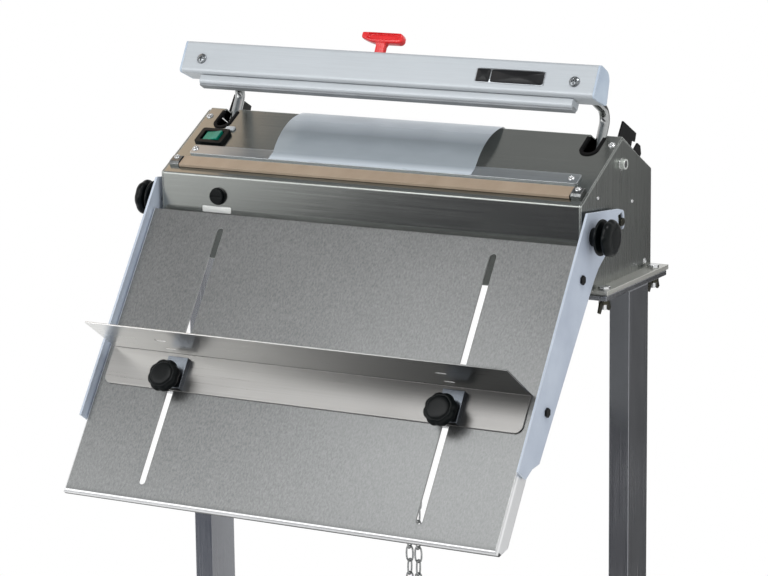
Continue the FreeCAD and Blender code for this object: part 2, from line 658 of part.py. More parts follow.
def control_board():
    made = body("control_board")
    deck = f"({FLOOR} + 10)"
    pad(made, "XY", [rectangle("62", "20", "138", "96")], deck, f"{deck} + 1.6")
    pad(made, "XY", [hexagon(x, y, "6") for x in ("67", "133") for y in ("25", "91")], FLOOR, deck)
    pad(made, "XY", [rectangle("72", "30", "96", "58")], f"{deck} + 1.6", f"{deck} + 18")
    pad(made, "XY", [octagon("114", "48", "9")], f"{deck} + 1.6", f"{deck} + 26")


def microswitch():
    made = body("microswitch")
    pad(made, "XY", [rectangle("42", "112", "54", "115")], FLOOR, "-22")
    pad(made, "XY", [rectangle("40", "102", "56", "112")], "-46", "-22")
    pad(made, "XY", [rectangle("46", "99", "50", "102")], "-36", "-32")


def switch():
    """Splash frame with its body under the plate, and the rocker that tips in it."""
    frame = body("switch_frame", "plate", "switch_x", "switch_up")
    def centred(long, wide):
        return rectangle(f"-{long} / 2", f"-{wide} / 2", f"{long} / 2", f"{wide} / 2")
    pad(frame, "XY", [centred("switch_long", "switch_wide")], "0", "switch_rim")
    round_edges(frame, "3", lambda middle, edge: abs(middle.z - value("switch_rim") / 2) < 0.1)
    pad(frame, "XY", [centred("switch_body_long", "switch_body_wide")], "-switch_depth", "0")
    cut(frame, "XY", [centred("window_long", "window_wide")], "-window_depth", "switch_rim + 1")
    reach = "window_wide / 2 + 1"
    cut(frame, "XZ", [circle("0", "-1", "rocker_pin + fit")], f"-({reach})", reach)
    rocker = body("rocker", "plate", "switch_x", "switch_up")
    pad(rocker, "XZ", [polygon([("-rocker_half", "-4"), ("rocker_half", "-4"), ("rocker_half - 0.4", "6.6"),
                                ("1", "4.4"), ("-rocker_half + 0.4", "3.2")])],
        "-rocker_wide / 2", "rocker_wide / 2")
    pad(rocker, "XZ", [circle("0", "-1", "rocker_pin")], "0.1 - window_wide / 2 - 1", "window_wide / 2 + 0.9")


def fuse():
    holder = body("fuse_holder", "machine", "fuse_x", "0", "fuse_z")
    pad(holder, "XZ", [circle("0", "0", "fuse_flange")], "-2", "0")
    pad(holder, "XZ", [octagon("0", "0", "fuse_body")], "0", "30")
    cut(holder, "XZ", [octagon("0", "0", "fuse_shank + fit")], "-3", "20")
    cap = body("fuse_cap", "machine", "fuse_x", "0", "fuse_z")
    pad(cap, "XZ", [circle("0", "0", "fuse_flange - 1.5")], "-5.6", "-2.3")
    pad(cap, "XZ", [octagon("0", "0", "fuse_shank * cos(22.5)")], "-2.3", "18")
    cut(cap, "XZ", [rectangle("-6", "-0.9", "6", "0.9")], "-6", "-4.6")


# Worktable

def table_panel():
    """Sheet with turned-down sides and a lip along its lower edge, slotted for the stop's screws."""
    made = body("table_panel", "table")
    half = "table_width / 2"
    pad(made, "YZ", [polygon([
        ("table_top", "0"), ("table_end", "0"), ("table_end", "-table_hem"),
        ("table_end + skin", "-table_hem"), ("table_end + skin", "-skin"),
        ("table_top", "-skin")])], f"-{half}", half)
    for side in SIDES.values():
        low, high = mirrored(f"{half} - skin", half, side)
        pad(made, "YZ", [polygon([
            ("table_top", "0"), ("table_end", "0"), ("table_end", "-table_hem"),
            ("table_end + table_flange - table_hem", "-table_flange"), ("table_top", "-table_flange")])],
            low, high)
    round_edges(made, "table_bend", lambda middle, edge: abs(middle.z) < 0.01 and (
        abs(middle.y - value("table_end")) < 0.1 or abs(abs(middle.x) - value(half)) < 0.1))
    cut(made, "XY", [slot(f"{side} * table_slot_x", "table_slot_end", "table_slot_top", "table_slot_width")
                     for side in SIDES.values()], "-table_flange", "1")


def side_arm(name, side):
    """Plate that stands proud beside the table, hung on the clamp knob and hooked over a guide bolt."""
    made = body("side_arm_" + name, "table")
    low, high = mirrored("arm_inner", "arm_inner + arm_plate", side)
    pad(made, "YZ", [polygon([
        ("-6", "arm_proud"), ("31", "-58"), ("36", "-72"), ("22", "-84"), ("-8", "-63"),
        ("-26", "-56"), ("-42", "-49"), ("-58", "-46"), ("arm_end + 25", "-33"),
        ("arm_end + 14", "-20"), ("arm_end", "-12"), ("arm_end", "arm_proud")])], low, high)
    corners = (("31", "-58"), ("36", "-72"), ("22", "-84"))
    round_edges(made, "6", lambda middle, edge: along_x(edge) and any(
        near(middle, y, z) for y, z in corners))
    cut(made, "YZ", [circle("tilt_y", "tilt_z", "stud_radius + fit")], low, high)
    cut(made, "YZ", [octagon(y, "table_screw_depth", "2.5 + fit") for y in
                     ("table_screw_upper", "table_screw_lower")], low, high)
    arc = made.newObject("PartDesign::Groove", made.Name + "_arc")
    radii = ("guide_reach - guide_slot / 2", "guide_reach + guide_slot / 2")
    drawing = new_sketch(made, "XY", [rectangle(f"{low} - 1", radii[0], f"{high} + 1", radii[1])])
    start = "guide_angle + guide_rise"
    drawing.AttachmentOffset = Placement(Vector(), Rotation(Vector(1, 0, 0), value(start)))
    bind(drawing, "AttachmentOffset.Base.y", "tilt_y")
    bind(drawing, "AttachmentOffset.Base.z", "tilt_z")
    bind(drawing, "AttachmentOffset.Rotation.Angle", start)
    arc.Profile = drawing
    arc.ReferenceAxis = (drawing, ["H_Axis"])
    bind(arc, "Angle", "guide_sweep")
    arc.Reversed = True
    doc.recompute()


def table_screws():
    made = body("table_screws", "table")
    outer = "(arm_inner + arm_plate)"
    for side in SIDES.values():
        seats = [("table_screw_upper", "table_screw_depth"), ("table_screw_lower", "table_screw_depth")]
        low, high = mirrored("table_width / 2", outer, side)
        pad(made, "YZ", [octagon(y, z, "2.5") for y, z in seats], low, high)
        low, high = mirrored(outer, f"{outer} + 2.4", side)
        pad(made, "YZ", [hexagon(y, z, "9") for y, z in seats], low, high)


def table_guide_bolts():
    """Bolts in the side panels, with spacers, that the side arms are hooked over."""
    made = body("table_guide_bolts")
    for side in SIDES.values():
        low, high = mirrored(f"{HALF} - 10", HALF, side)
        pad(made, "YZ", [octagon(BOLT_Y, BOLT_Z, "stud_radius")], low, high)
        low, high = mirrored(HALF, "arm_inner - 0.3", side)
        pad(made, "YZ", [octagon(BOLT_Y, BOLT_Z, "guide_bolt + 4")], low, high)
        low, high = mirrored("arm_inner - 0.3", "arm_inner + arm_plate + 3", side)
        pad(made, "YZ", [octagon(BOLT_Y, BOLT_Z, "guide_bolt")], low, high)


def star_knob(name, side):
    """Lobed knob with its screw, which passes the stop and the table's slot."""
    made = body("star_knob_" + name, "table", f"{side} * table_slot_x", "star_y")
    pad(made, "XY", [lobes("star_radius", "1.8", 7)], "star_base + 6", "star_top - 2.5")
    pad(made, "XY", [lobes("star_radius - 2.5", "1.5", 7)], "star_top - 2.5", "star_top")
    pad(made, "XY", [octagon("0", "0", "8")], "star_base", "star_base + 6")
    pad(made, "XY", [circle("0", "0", "stud_radius - 0.6")], "-11", "star_base")


def side_knob(name, side):
    """Clamp knob with a skirt, a hub and a screw into the side panel, on the tilt axis."""
    made = body("side_knob_" + name)
    made.Placement = Placement(Vector(), Rotation(Vector(0, 0, 1), 0 if side > 0 else 180))
    bind(made, "Placement.Base.x", f"{side} * (arm_inner + arm_plate)")
    bind(made, "Placement.Base.y", f"edge_y + {TILT_Y}")
    bind(made, "Placement.Base.z", f"edge_height + {TILT_Z}")
    pad(made, "YZ", [lobes("knob_radius", "1.6", 7)], "knob_inner", "knob_outer - 3.5")
    pad(made, "YZ", [lobes("knob_radius - 3.5", "1.3", 7)], "knob_outer - 3.5", "knob_outer")
    pad(made, "YZ", [octagon("0", "0", "knob_neck")], "knob_skirt + 4", "knob_inner")
    pad(made, "YZ", [facets("0", "0", "knob_disc", 24)], "knob_skirt", "knob_skirt + 4")
    pad(made, "YZ", [octagon("0", "0", "knob_neck + 2")], "0.3", "knob_skirt")
    pad(made, "YZ", [circle("0", "0", "stud_radius")], "-16", "0.3")


# Product stop

def stop_angle():
    made = body("stop_angle", "table")
    half = "stop_width / 2"
    top = "stop_lift + skin"
    pad(made, "YZ", [polygon([("stop_leaf", "stop_lift"), ("stop_fold + skin", "stop_lift"),
                              ("stop_fold + skin", "stop_tall"), ("stop_fold", "stop_tall"),
                              ("stop_fold", top), ("stop_leaf", top)])], f"-{half}", half)
    round_edges(made, "stop_corner", lambda middle, edge: abs(middle.y - value("stop_leaf")) < 0.1
                and abs(abs(middle.x) - value(half)) < 0.1)
    cut(made, "XY", [octagon(f"{side} * table_slot_x", "star_y", "stud_radius")
                     for side in SIDES.values()], "0", "3 * skin")
    reach, tall = "shelf_slot_long / 2", "shelf_slot_wide / 2"
    for side in SIDES.values():
        middle = f"{side} * shelf_slot_x + shelf_slot_shift"
        cut(made, "XZ", [rectangle(f"{middle} - {reach}", f"{up} - {tall}",
                                   f"{middle} + {reach}", f"{up} + {tall}")
                         for up in ("shelf_slot_low", "shelf_slot_high")],
            "stop_fold - 1", "stop_fold + skin + 1")


def stop_clips():
    """Bent clips between the star knobs and the stop's leaf."""
    made = body("stop_clips", "table")
    seat = "stop_lift + skin"
    for side in SIDES.values():
        middle = f"{side} * table_slot_x"
        pad(made, "XZ", [polygon([
            (f"{middle} - clip_left", "clip_top - skin"),
            (f"{middle} + clip_right - skin", "clip_top - skin"),
            (f"{middle} + clip_right - skin", seat), (f"{middle} + clip_right", seat),
            (f"{middle} + clip_right", "clip_top"), (f"{middle} - clip_left", "clip_top")])],
            "clip_lower", "clip_upper")
    cut(made, "XY", [octagon(f"{side} * table_slot_x", "star_y", "stud_radius")
                     for side in SIDES.values()], "clip_top - 2 * skin", "clip_top + 1")


def stop_nuts():
    """Square clamp nuts under the table, on the star knobs' screws."""
    made = body("stop_nuts", "table")
    for side in SIDES.values():
        middle = f"{side} * table_slot_x"
        pad(made, "XY", [rectangle(f"{middle} - 10", "star_y - 10", f"{middle} + 10", "star_y + 10"),
                         octagon(middle, "star_y", "stud_radius")], "-8", "-skin - 0.3")


# Stand

def square(x, y, half):
    return rectangle(f"{x} - ({half})", f"{y} - ({half})", f"{x} + ({half})", f"{y} + ({half})")


def square_holes(side):
    """Holes for the carriage bolts' square necks."""
    return [square(f"{side} * bolt_x", y, "bolt_radius + fit") for y in ("bolt_front", "bolt_back")]


def mount_bars():
    made = body("mount_bars")
    for side in SIDES.values():
        low, high = mirrored("bar_inner", "bar_outer", side)
        pad(made, "XY", [rectangle(low, "bar_front", high, "bar_back")] + square_holes(side),
            f"-{BAR_LOW}", "-base_drop")


def leg(name, side):
    """Rectangular tube under a bolted top plate."""
    made = body("leg_" + name)
    low, high = mirrored("bar_inner", "bar_outer + 1", side)
    pad(made, "XY", [rectangle(low, "bar_front - 4", high, "bar_back - 8")] + square_holes(side),
        f"-{PLATE_LOW}", f"-{BAR_LOW}")
    low, high = mirrored("leg_inner", LEG_OUTER, side)
    inner_low, inner_high = mirrored("leg_inner + tube_wall", f"{LEG_OUTER} - tube_wall", side)
    pad(made, "XY", [rectangle(low, "leg_front", high, "leg_front + leg_deep"),
                     rectangle(inner_low, "leg_front + tube_wall", inner_high,
                               "leg_front + leg_deep - tube_wall")],
        f"{FOOT_TOP} - edge_height", f"-{PLATE_LOW}")


def leg_bolts():
    made = body("leg_bolts")
    seats = [(f"{side} * bolt_x", y) for side in SIDES.values() for y in ("bolt_front", "bolt_back")]
    pad(made, "XY", [octagon(x, y, "bolt_head") for x, y in seats], "-base_drop", "3.4 - base_drop")
    pad(made, "XY", [square(x, y, "bolt_radius") for x, y in seats], f"-{PLATE_LOW}", "-base_drop")
    pad(made, "XY", [octagon(x, y, "bolt_radius") for x, y in seats], f"-{PLATE_LOW} - 12", f"-{PLATE_LOW}")


def wing_nuts():
    made = body("wing_nuts")
    under = f"-{PLATE_LOW}"
    for side in SIDES.values():
        x = f"{side} * bolt_x"
        for y in ("bolt_front", "bolt_back"):
            pad(made, "XY", [octagon(x, y, "bolt_radius + 2.6"), octagon(x, y, "bolt_radius + fit")],
                f"{under} - 6", under)
            for way in (-1, 1):
                pad(made, "YZ", [polygon([
                    (f"{y} + {way} * 4.5", f"{under} - 1"), (f"{y} + {way} * 4.5", f"{under} - 6"),
                    (f"{y} + {way} * 11", f"{under} - 15"), (f"{y} + {way} * 15", f"{under} - 13"),
                    (f"{y} + {way} * 11", f"{under} - 3")])], f"{x} - 1.2", f"{x} + 1.2")


def foot(name, side):
    made = body("foot_" + name, "floor")
    low, high = mirrored("leg_inner", LEG_OUTER, side)
    inner_low, inner_high = mirrored("leg_inner + tube_wall", f"{LEG_OUTER} - tube_wall", side)
    pad(made, "XZ", [rectangle(low, "foot_low", high, FOOT_TOP),
                     rectangle(inner_low, "foot_low + tube_wall", inner_high, f"{FOOT_TOP} - tube_wall")],
        "-foot_half", "foot_half")


def foot_caps():
    """Plugs in the feet's ends and round pads under them."""
    made = body("foot_caps", "floor")
    for side in SIDES.values():
        low, high = mirrored("leg_inner", LEG_OUTER, side)
        for way in SIDES.values():
            near_end, far_end = mirrored("foot_half", "foot_half + foot_cap", way)
            pad(made, "XZ", [rectangle(low, "foot_low", high, FOOT_TOP)], near_end, far_end)
    pad(made, "XY", [octagon(f"{side} * (leg_inner + leg_wide / 2)", f"{way} * pad_y", "pad_radius")
                     for side in SIDES.values() for way in SIDES.values()], "0", "foot_low")


def cross_bar():
    made = body("cross_bar", "floor")
    back, top = "cross_front + cross_deep", "cross_low + cross_tall"
    pad(made, "YZ", [rectangle("cross_front", "cross_low", back, top),
                     rectangle("cross_front + tube_wall", "cross_low + tube_wall",
                               f"{back} - tube_wall", f"{top} - tube_wall")], "-leg_inner", "leg_inner")


# Pedal and chain

PEDAL_X = "(crank_x + strand_x)"


def pedal_hinge():
    """Two ears behind the cross bar with the pin that carries the pedal."""
    made = body("pedal_hinge", "floor", PEDAL_X)
    back = "cross_front + cross_deep"
    for side in SIDES.values():
        low, high = mirrored("ear_half", "ear_half + ear_thick", side)
        pad(made, "YZ", [polygon([(back, "cross_low"), (back, "cross_low + cross_tall"),
                                  (f"{back} + 8", "cross_low + cross_tall"),
                                  ("pedal_y + 11", "pedal_z + 4"), ("pedal_y + 8", "pedal_z - 10"),
                                  ("pedal_y - 8", "pedal_z - 10")])], low, high)
    pad(made, "YZ", [circle("pedal_y", "pedal_z", "pedal_pin")], "-ear_half", "ear_half")


def pedal_lever():
    """Lever from the hinge pin to the foot plate, with lugs and a pin for the chain's shackle."""
    made = body("pedal_lever", "floor", PEDAL_X)
    pad(made, "YZ", [octagon("pedal_y", "pedal_z", "pedal_pin + 6"),
                     circle("pedal_y", "pedal_z", "pedal_pin + fit")], "-ear_half + 2", "ear_half - 2")
    top = "(pedal_z + 4)"
    low = "(pedal_z + 4 - lever_thick)"
    pad(made, "YZ", [polygon([("pedal_y - pedal_pin - 2", low), ("pedal_y - pedal_pin - 2", top),
                              ("tread_back - 6", top), ("tread_back - 6", low)])],
        "-lever_half", "lever_half")
    pad(made, "XY", [rectangle("-tread_half", "tread_front", "tread_half", "tread_back")],
        f"{top} - tread_thick", top)
    for side in SIDES.values():
        near_x, far_x = mirrored("5", "9", side)
        pad(made, "YZ", [polygon([("hook_y - 10", top), ("hook_y - 5", "hook_z + 5"),
                                  ("hook_y + 5", "hook_z + 5"), ("hook_y + 10", top)])], near_x, far_x)
    pad(made, "YZ", [circle("hook_y", "hook_z", "hook_pin")], "-5", "5")


def pedal_tread():
    made = body("pedal_tread", "floor", PEDAL_X)
    top = "(pedal_z + 4)"
    pad(made, "XY", [rectangle("4 - tread_half", "tread_front + 4", "tread_half - 4", "tread_back - 4")],
        top, f"{top} + 2.5")
    ribs = [rectangle("8 - tread_half", f"tread_front + {8 + 13 * k}",
                      "tread_half - 8", f"tread_front + {15 + 13 * k}") for k in range(5)]
    pad(made, "XY", ribs, f"{top} + 2.5", f"{top} + 4")


def link(owner, plane, across, middle, size, low, high):
    """One chain link, standing upright: a long ring of square wire with its outer corners cut off."""
    long, wide, wire = size
    side, top = f"({wide} / 2)", f"({long} / 2)"
    shoulder, end = f"({top} - {wire})", f"({side} / 2)"
    rim = [(side, shoulder), (end, top), (f"-{end}", top), (f"-{side}", shoulder)]
    rim += [(f"-{side}", f"-{shoulder}"), (f"-{end}", f"-{top}"), (end, f"-{top}"), (side, f"-{shoulder}")]
    outside = polygon([(f"{across} + {x}", f"{middle} + {y}") for x, y in rim])
    eye_wide, eye_long = f"({side} - {wire})", f"({top} - {wire})"
    inside = rectangle(f"{across} - {eye_wide}", f"{middle} - {eye_long}",
                       f"{across} + {eye_wide}", f"{middle} + {eye_long}")
    return pad(owner, plane, [outside, inside], low, high)


def pull_chain():
    """Two strands of linked rings from the crank's pin: one down to the pedal, one spare end."""
    eye_y = f"({SHAFT_Y} - crank_reach * cos(crank_droop))"
    eye_z = f"({SHAFT_Z} - crank_reach * sin(crank_droop))"
    made = body("pull_chain", "machine", "crank_x", eye_y, eye_z)
    first = "(crank_pin + 0.4 - link_long / 2 + link_wire)"
    half = "link_wire / 2"
    for x, pairs in (("strand_x", "main_pairs"), ("-strand_x", "spare_pairs")):
        size = ("link_long", "link_wide", "link_wire")
        flat = link(made, "YZ", "0", first, size, f"{x} - {half}", f"{x} + {half}")
        turned_link = link(made, "XZ", x, f"{first} - link_pitch", size, f"-{half}", half)
        run = made.newObject("PartDesign::LinearPattern", "strand")
        run.Originals = [flat, turned_link]
        run.Direction = (origin_feature(made, "Z_Axis"), [""])
        run.Reversed = True
        bind(run, "Length", f"2 * link_pitch * ({pairs} - 1)")
        run.Occurrences = int(value(pairs))
        made.Tip = run
        doc.recompute()
    pin = f"(hook_z - edge_height - {eye_z})"
    bottom = f"({pin} - hook_pin - 0.4 - shackle_wire)"
    last = f"({first} - link_pitch * (2 * main_pairs - 1))"
    top = f"({last} - link_long / 2 + link_wire + 0.5 + shackle_wire)"
    link(made, "YZ", "0", f"({top} + {bottom}) / 2", (f"({top} - {bottom})", "shackle_wide", "shackle_wire"),
         "strand_x - shackle_wire / 2", "strand_x + shackle_wire / 2")


# Film sheet and rear brackets

def film_sheet():
    """Clear film from the guide strip in one arch to the ridge, then down the rear slope."""
    slope = math.radians(value("plate_slope"))
    def on_plate(up, off):
        return Vector(0, up * math.cos(slope) - off * math.sin(slope),
                      up * math.sin(slope) + off * math.cos(slope))
    thick = value("film_thick")
    lift = value("guide_thick") + 0.2
    start, over = value("guide_front"), value("guide_back")
    length = value("plate_length + ridge_lap")
    rear = Vector(0, value("back_y - " + LAP_Y), value("back_z - " + LAP_Z)).normalize()
    away = Vector(0, -rear.z, rear.y)
    ridge = on_plate(length, 0) + Vector(0, 0, 0.6)
    def side_line(extra):
        front, knee = on_plate(start, lift + extra), on_plate(over - 4, lift + 0.2 + extra)
        crown = on_plate((over + length) / 2, value("film_bulge") + extra)
        top = ridge + Vector(0, -1.2, 1).multiply(0.4) + Vector(0, 0, extra)
        fall = ridge + rear * 9 + away * (1.0 + extra)
        tail = ridge + rear * value("film_tail") + away * (0.6 + extra)
        return [Part.LineSegment(front, knee), Part.Arc(knee, crown, top),
                Part.Arc(top, ridge + rear * 3.5 + away * (1.3 + extra), fall), Part.LineSegment(fall, tail)]
    lower, upper = side_line(0), side_line(thick)
    ends = [Part.LineSegment(lower[0].StartPoint, upper[0].StartPoint),
            Part.LineSegment(lower[-1].EndPoint, upper[-1].EndPoint)]
    edges = [curve.toShape() for curve in lower + upper + ends]
    face = Part.Face(Part.Wire(Part.__sortEdges__(edges)))
    face.translate(Vector(value("film_x - film_width / 2"), 0, 0))
    made = doc.addObject("Part::Feature", "film_sheet")
    made.Label = "film_sheet"
    made.Shape = face.extrude(Vector(value("film_width"), 0, 0))
    place(made, "machine")
    nodes.append(made)


def on_rear(y):
    """Height of the rear slope at y, in the machine frame."""
    return f"{LAP_Z} - ({y} - {LAP_Y}) * ({LAP_Z} - back_z) / (back_y - {LAP_Y})"


def film_brackets():
    """Black plates on the rear slope, notched and hooked at their rear ends."""
    made = body("film_brackets")
    for name, side in SIDES.items():
        low, high = mirrored("bracket_" + name, f"bracket_{name} + bracket_thick", side)
        pad(made, "YZ", [polygon([
            ("124", on_rear("124")), ("140", "69.5"), ("174", "51.5"), ("170.5", "42.5"), ("163", "45"),
            ("160", "37.5"), ("168", "34"), ("178", "40"), ("185", "36"), ("187", "27"), ("177", "15.5"),
            ("172", on_rear("172"))])], low, high)


housing_cover()
base_plate()
slot_liners()
seal_bar()
film_guide_strip()
element_clamps()
cover_screws()
shaft_bushes()
main_shaft()
shaft_caps()
return_springs()
lever_rods()
sealing_arm()
arm_end_caps()
jaw()
arm_handle()
arm_screws()
pedal_crank()
armatures()
holding_magnets()
transformer()
control_board()
microswitch()
switch()
fuse()
table_panel()
table_screws()
table_guide_bolts()
stop_angle()
stop_clips()
stop_nuts()
mount_bars()
leg_bolts()
wing_nuts()
foot_caps()
cross_bar()
pedal_hinge()
pedal_lever()
pedal_tread()
pull_chain()
film_sheet()
film_brackets()
for label, sign in SIDES.items():
    side_panel(label, sign)
    side_arm(label, sign)
    star_knob(label, sign)
    side_knob(label, sign)
    leg(label, sign)
    foot(label, sign)
doc.recompute()

# Every feature has to be sound, and every cut has to take something away, before a file is written
for item in doc.Objects:
    if "Invalid" in item.State or "Error" in item.State:
        raise RuntimeError(f"{item.Label} failed: {item.State}")
    if item.TypeId in ("PartDesign::Pocket", "PartDesign::Groove"):
        taken = item.BaseFeature.Shape.Volume - item.Shape.Volume
        if taken < 0.01:
            raise RuntimeError(f"{item.Label} cuts nothing")
os.makedirs("parts", exist_ok=True)
for node in nodes:
    if node.Shape.isNull() or not node.Shape.isValid():
        raise RuntimeError(f"{node.Label} has no sound shape")
    node.Shape.exportStep(f"parts/{node.Label}.step")
print(len(nodes), "sub-parts written")
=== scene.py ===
"""Impulse heat sealer on a stand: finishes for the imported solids, worked surfaces, light and camera.

Shapes are worked out in millimetres in the local frames of the machine, the sealing plate,
the sealing arm and the worktable, and carried into the part's metres by those frames.
"""
import json
from math import atan2, cos, pi, radians, sin, tau

import bmesh
import bpy
import numpy as np
from mathutils import Matrix, Vector


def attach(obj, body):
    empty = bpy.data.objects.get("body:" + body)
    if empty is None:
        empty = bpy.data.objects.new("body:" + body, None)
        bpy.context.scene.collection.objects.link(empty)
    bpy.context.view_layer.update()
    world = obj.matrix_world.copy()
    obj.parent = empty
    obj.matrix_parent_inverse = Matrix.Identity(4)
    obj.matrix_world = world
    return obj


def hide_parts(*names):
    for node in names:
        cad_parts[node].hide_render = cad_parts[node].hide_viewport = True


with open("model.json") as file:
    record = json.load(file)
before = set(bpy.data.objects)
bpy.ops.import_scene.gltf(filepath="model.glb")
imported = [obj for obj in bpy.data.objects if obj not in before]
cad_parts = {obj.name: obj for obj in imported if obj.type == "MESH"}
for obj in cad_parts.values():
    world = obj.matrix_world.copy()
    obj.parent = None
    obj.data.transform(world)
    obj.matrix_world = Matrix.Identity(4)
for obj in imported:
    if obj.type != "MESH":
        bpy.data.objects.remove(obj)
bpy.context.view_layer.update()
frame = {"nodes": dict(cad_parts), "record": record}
nodes = frame["nodes"]

# Driving sizes, in millimetres and degrees
MM = 0.001
EDGE_Y, EDGE_Z = -45, 900
SLOPE = 28.75
SHAFT_Y, SHAFT_Z, SHAFT_RADIUS = 55.01, 929.77, 6
ARM_TURN, ARM_FRONT, ARM_LOW = -29.15, -94.4, 37.9
TABLE_Y, TABLE_Z = -35.1, 893.2
TABLE_TURN, TABLE_END = 55.5, -381
LEVER_X, ROD_RADIUS, ROD_RISE, ROD_BEND = 230, 5.7, 57, 16
ROD_START, ROD_SUNK = 8.5, 22.5
HUB_RADIUS, HUB_HALF, HUB_CHAMFER, HUB_PLAY = 12, 10, 1, 0.05
STAR_X, STAR_Y, STAR_BASE, STAR_TOP, STAR_RADIUS = 169, -242.5, 9.7, 29, 18.4
KNOB_X, KNOB_Y, KNOB_Z, KNOB_RADIUS = 268, -34.0, 866.7, 20
EYE = (23.5, 18.08, 923.26)
LINK_LONG, LINK_WIDE, LINK_WIRE, LINK_PITCH, LINK_FIRST = 20.4, 10.5, 2.2, 15.3, -5.2
MAIN_X, MAIN_LINKS, SPARE_X, SPARE_LINKS = 5.5, 50, -5.5, 32
SHACKLE_LONG, SHACKLE_WIDE, SHACKLE_WIRE, SHACKLE_DROP = 27.8, 18, 3, -773.3
GUIDE_FRONT, GUIDE_BACK, GUIDE_THICK = 33.5, 49.5, 2.5
RIDGE, BACK_Y, BACK_Z = 121.3, 178, 13.5
FILM_X, FILM_WIDTH, FILM_BOW, FILM_TAIL = -10.4, 253, 9.5, 52
FILM_GAP, FILM_RIDGE_GAP, FILM_KNEE, FILM_RIPPLE = 0.45, 1.6, 4, 0.5
PLATE_X, PLATE_UP, PLATE_LONG, PLATE_TALL = 155.3, 17.7, 82, 17
ARM_SCREW_X, ARM_SCREW_UP, SIDE_X = 231, 16.6, 260
RIGHT, BACK, UP = (1, 0, 0), (0, 1, 0), (0, 0, 1)
WELD, SLIVER = 2e-6, 1e-6


# Local frames

def turned_frame(y, z, degrees):
    """A frame turned about X: carries points in its millimetres to the part's metres."""
    c, s = cos(radians(degrees)), sin(radians(degrees))
    turn = np.array([[1, 0, 0], [0, c, -s], [0, s, c]])
    return lambda points: (np.asarray(points, float) @ turn.T + np.array([0, y, z])) * MM


machine = turned_frame(EDGE_Y, EDGE_Z, 0)
plate = turned_frame(EDGE_Y, EDGE_Z, SLOPE)
arm = turned_frame(SHAFT_Y, SHAFT_Z, ARM_TURN)
table = turned_frame(TABLE_Y, TABLE_Z, TABLE_TURN)
floor = turned_frame(0, 0, 0)


def seat(frame_map, origin, right, up):
    """Carries a small shape's (across, up, out) coordinates to a seat in a local frame."""
    axes = np.array([right, up, np.cross(right, up)], float)
    return lambda points: frame_map(np.asarray(points, float) @ axes + np.array(origin, float))


# Surfaces

def turns(count):
    """Even angles round a full circle."""
    return np.linspace(0, tau, count, endpoint=False)


def blunt(wave, power):
    """A sine or cosine raised to a power with its sign kept, which squares off a circle."""
    return np.sign(wave) * abs(wave) ** power


def rounded(corners, steps=6):
    """Polyline of (x, y, cut) with each corner replaced by the quadratic arc that starts and ends
    `cut` away from it along its two legs."""
    points = [np.array(corner[:2], float) for corner in corners]
    t = np.linspace(0, 1, steps)[:, None]
    run = [points[0][None]]
    for before, here, after, corner in zip(points, points[1:], points[2:], corners[1:]):
        legs = [here + (end - here) * min(0.5, corner[2] / np.linalg.norm(end - here))
                for end in (before, after)]
        run.append((1 - t) ** 2 * legs[0] + 2 * t * (1 - t) * here + t ** 2 * legs[1])
    return np.concatenate(run + [points[-1][None]])


def revolve(profile, around=48, reach=None):
    """Surface of revolution: (radius, height) pairs carried round Z, with the radius scaled
    by reach(angle, radius, height) where that is given."""
    angle = turns(around)[None, :]
    radius, height = profile[:, :1], profile[:, 1:]
    wide = radius * (1 if reach is None else reach(angle, radius, height))
    return np.stack([wide * np.cos(angle), wide * np.sin(angle), height + 0 * angle], -1)


def lobed(count, depth, inner, outer, above):
    """Reach of a knob's rim: hollows of a squared cosine, growing from the inner radius to the outer
    one, on what stands above a height."""
    def reach(angle, radius, height):
        hollow = ((1 + np.cos(count * angle)) / 2) ** 2
        share = np.clip((radius - inner) / (outer - inner), 0, 1) * (height > above)
        return 1 - depth * hollow * share * share * (3 - 2 * share)
    return reach


def swept(path, along, side, radius, around):
    """Round section carried along a flat path: a circle of the path's normal `side` and of the
    direction at right angles to that and to the path."""
    along = along / np.linalg.norm(along, axis=1, keepdims=True)
    side = np.array(side, float)
    angle = turns(around)[None, :, None]
    circle = np.cos(angle) * side + np.sin(angle) * np.cross(along, side)[:, None]
    return path[:, None] + radius * circle


def capped(rings):
    """Closes a run of rings by drawing each end ring in to its middle."""
    ends = [np.broadcast_to(ring.mean(axis=0), ring.shape)[None] for ring in (rings[0], rings[-1])]
    return np.concatenate([ends[0], rings, ends[1]])


def slab(width, height, layers, squareness=9, around=72):
    """Rounded plate: superellipse outlines of the given squareness, stacked as (inset, rise) layers
    and closed at both ends."""
    angle = turns(around)
    unit = np.stack([blunt(wave, 2 / squareness) for wave in (np.cos(angle), np.sin(angle))], -1)
    inset, rise = np.array(layers, float).T
    half = np.array([width, height]) / 2 - inset[:, None]
    flat = half[:, None] * unit[None]
    level = np.broadcast_to(rise[:, None, None], flat.shape[:2] + (1,))
    return capped(np.concatenate([flat, level], -1))


def screw_head(radius, rise, slots=4, rows=22, around=64):
    """Domed head: height falls with a power of the radius, and a recess sinks where the sine of the
    angle, times half the number of slots, is small. Four slots make a cross, none a round hollow."""
    reach, reach_fade, slot_half, slot_fade, slot_spread = 0.62, 0.12, 0.27, 0.1, 1.35
    dome_fall, dome_power, recess_depth = 0.62, 2.4, 0.72
    share = np.linspace(0, 1, rows)[:, None]
    angle = turns(around)[None, :]
    across = share * abs(np.sin(slots / 2 * angle)) * slot_spread
    inside = np.clip((reach - share) / reach_fade, 0, 1)
    recess = np.clip((slot_half - across) / slot_fade, 0, 1) * inside
    height = rise * (1 - dome_fall * share ** dome_power - recess_depth * recess)
    dome = np.stack([share * radius * np.cos(angle), share * radius * np.sin(angle), height], -1)
    foot = np.concatenate([dome[-1:, :, :2], np.zeros((1, around, 1))], -1)
    return np.concatenate([dome, foot])


# Meshes

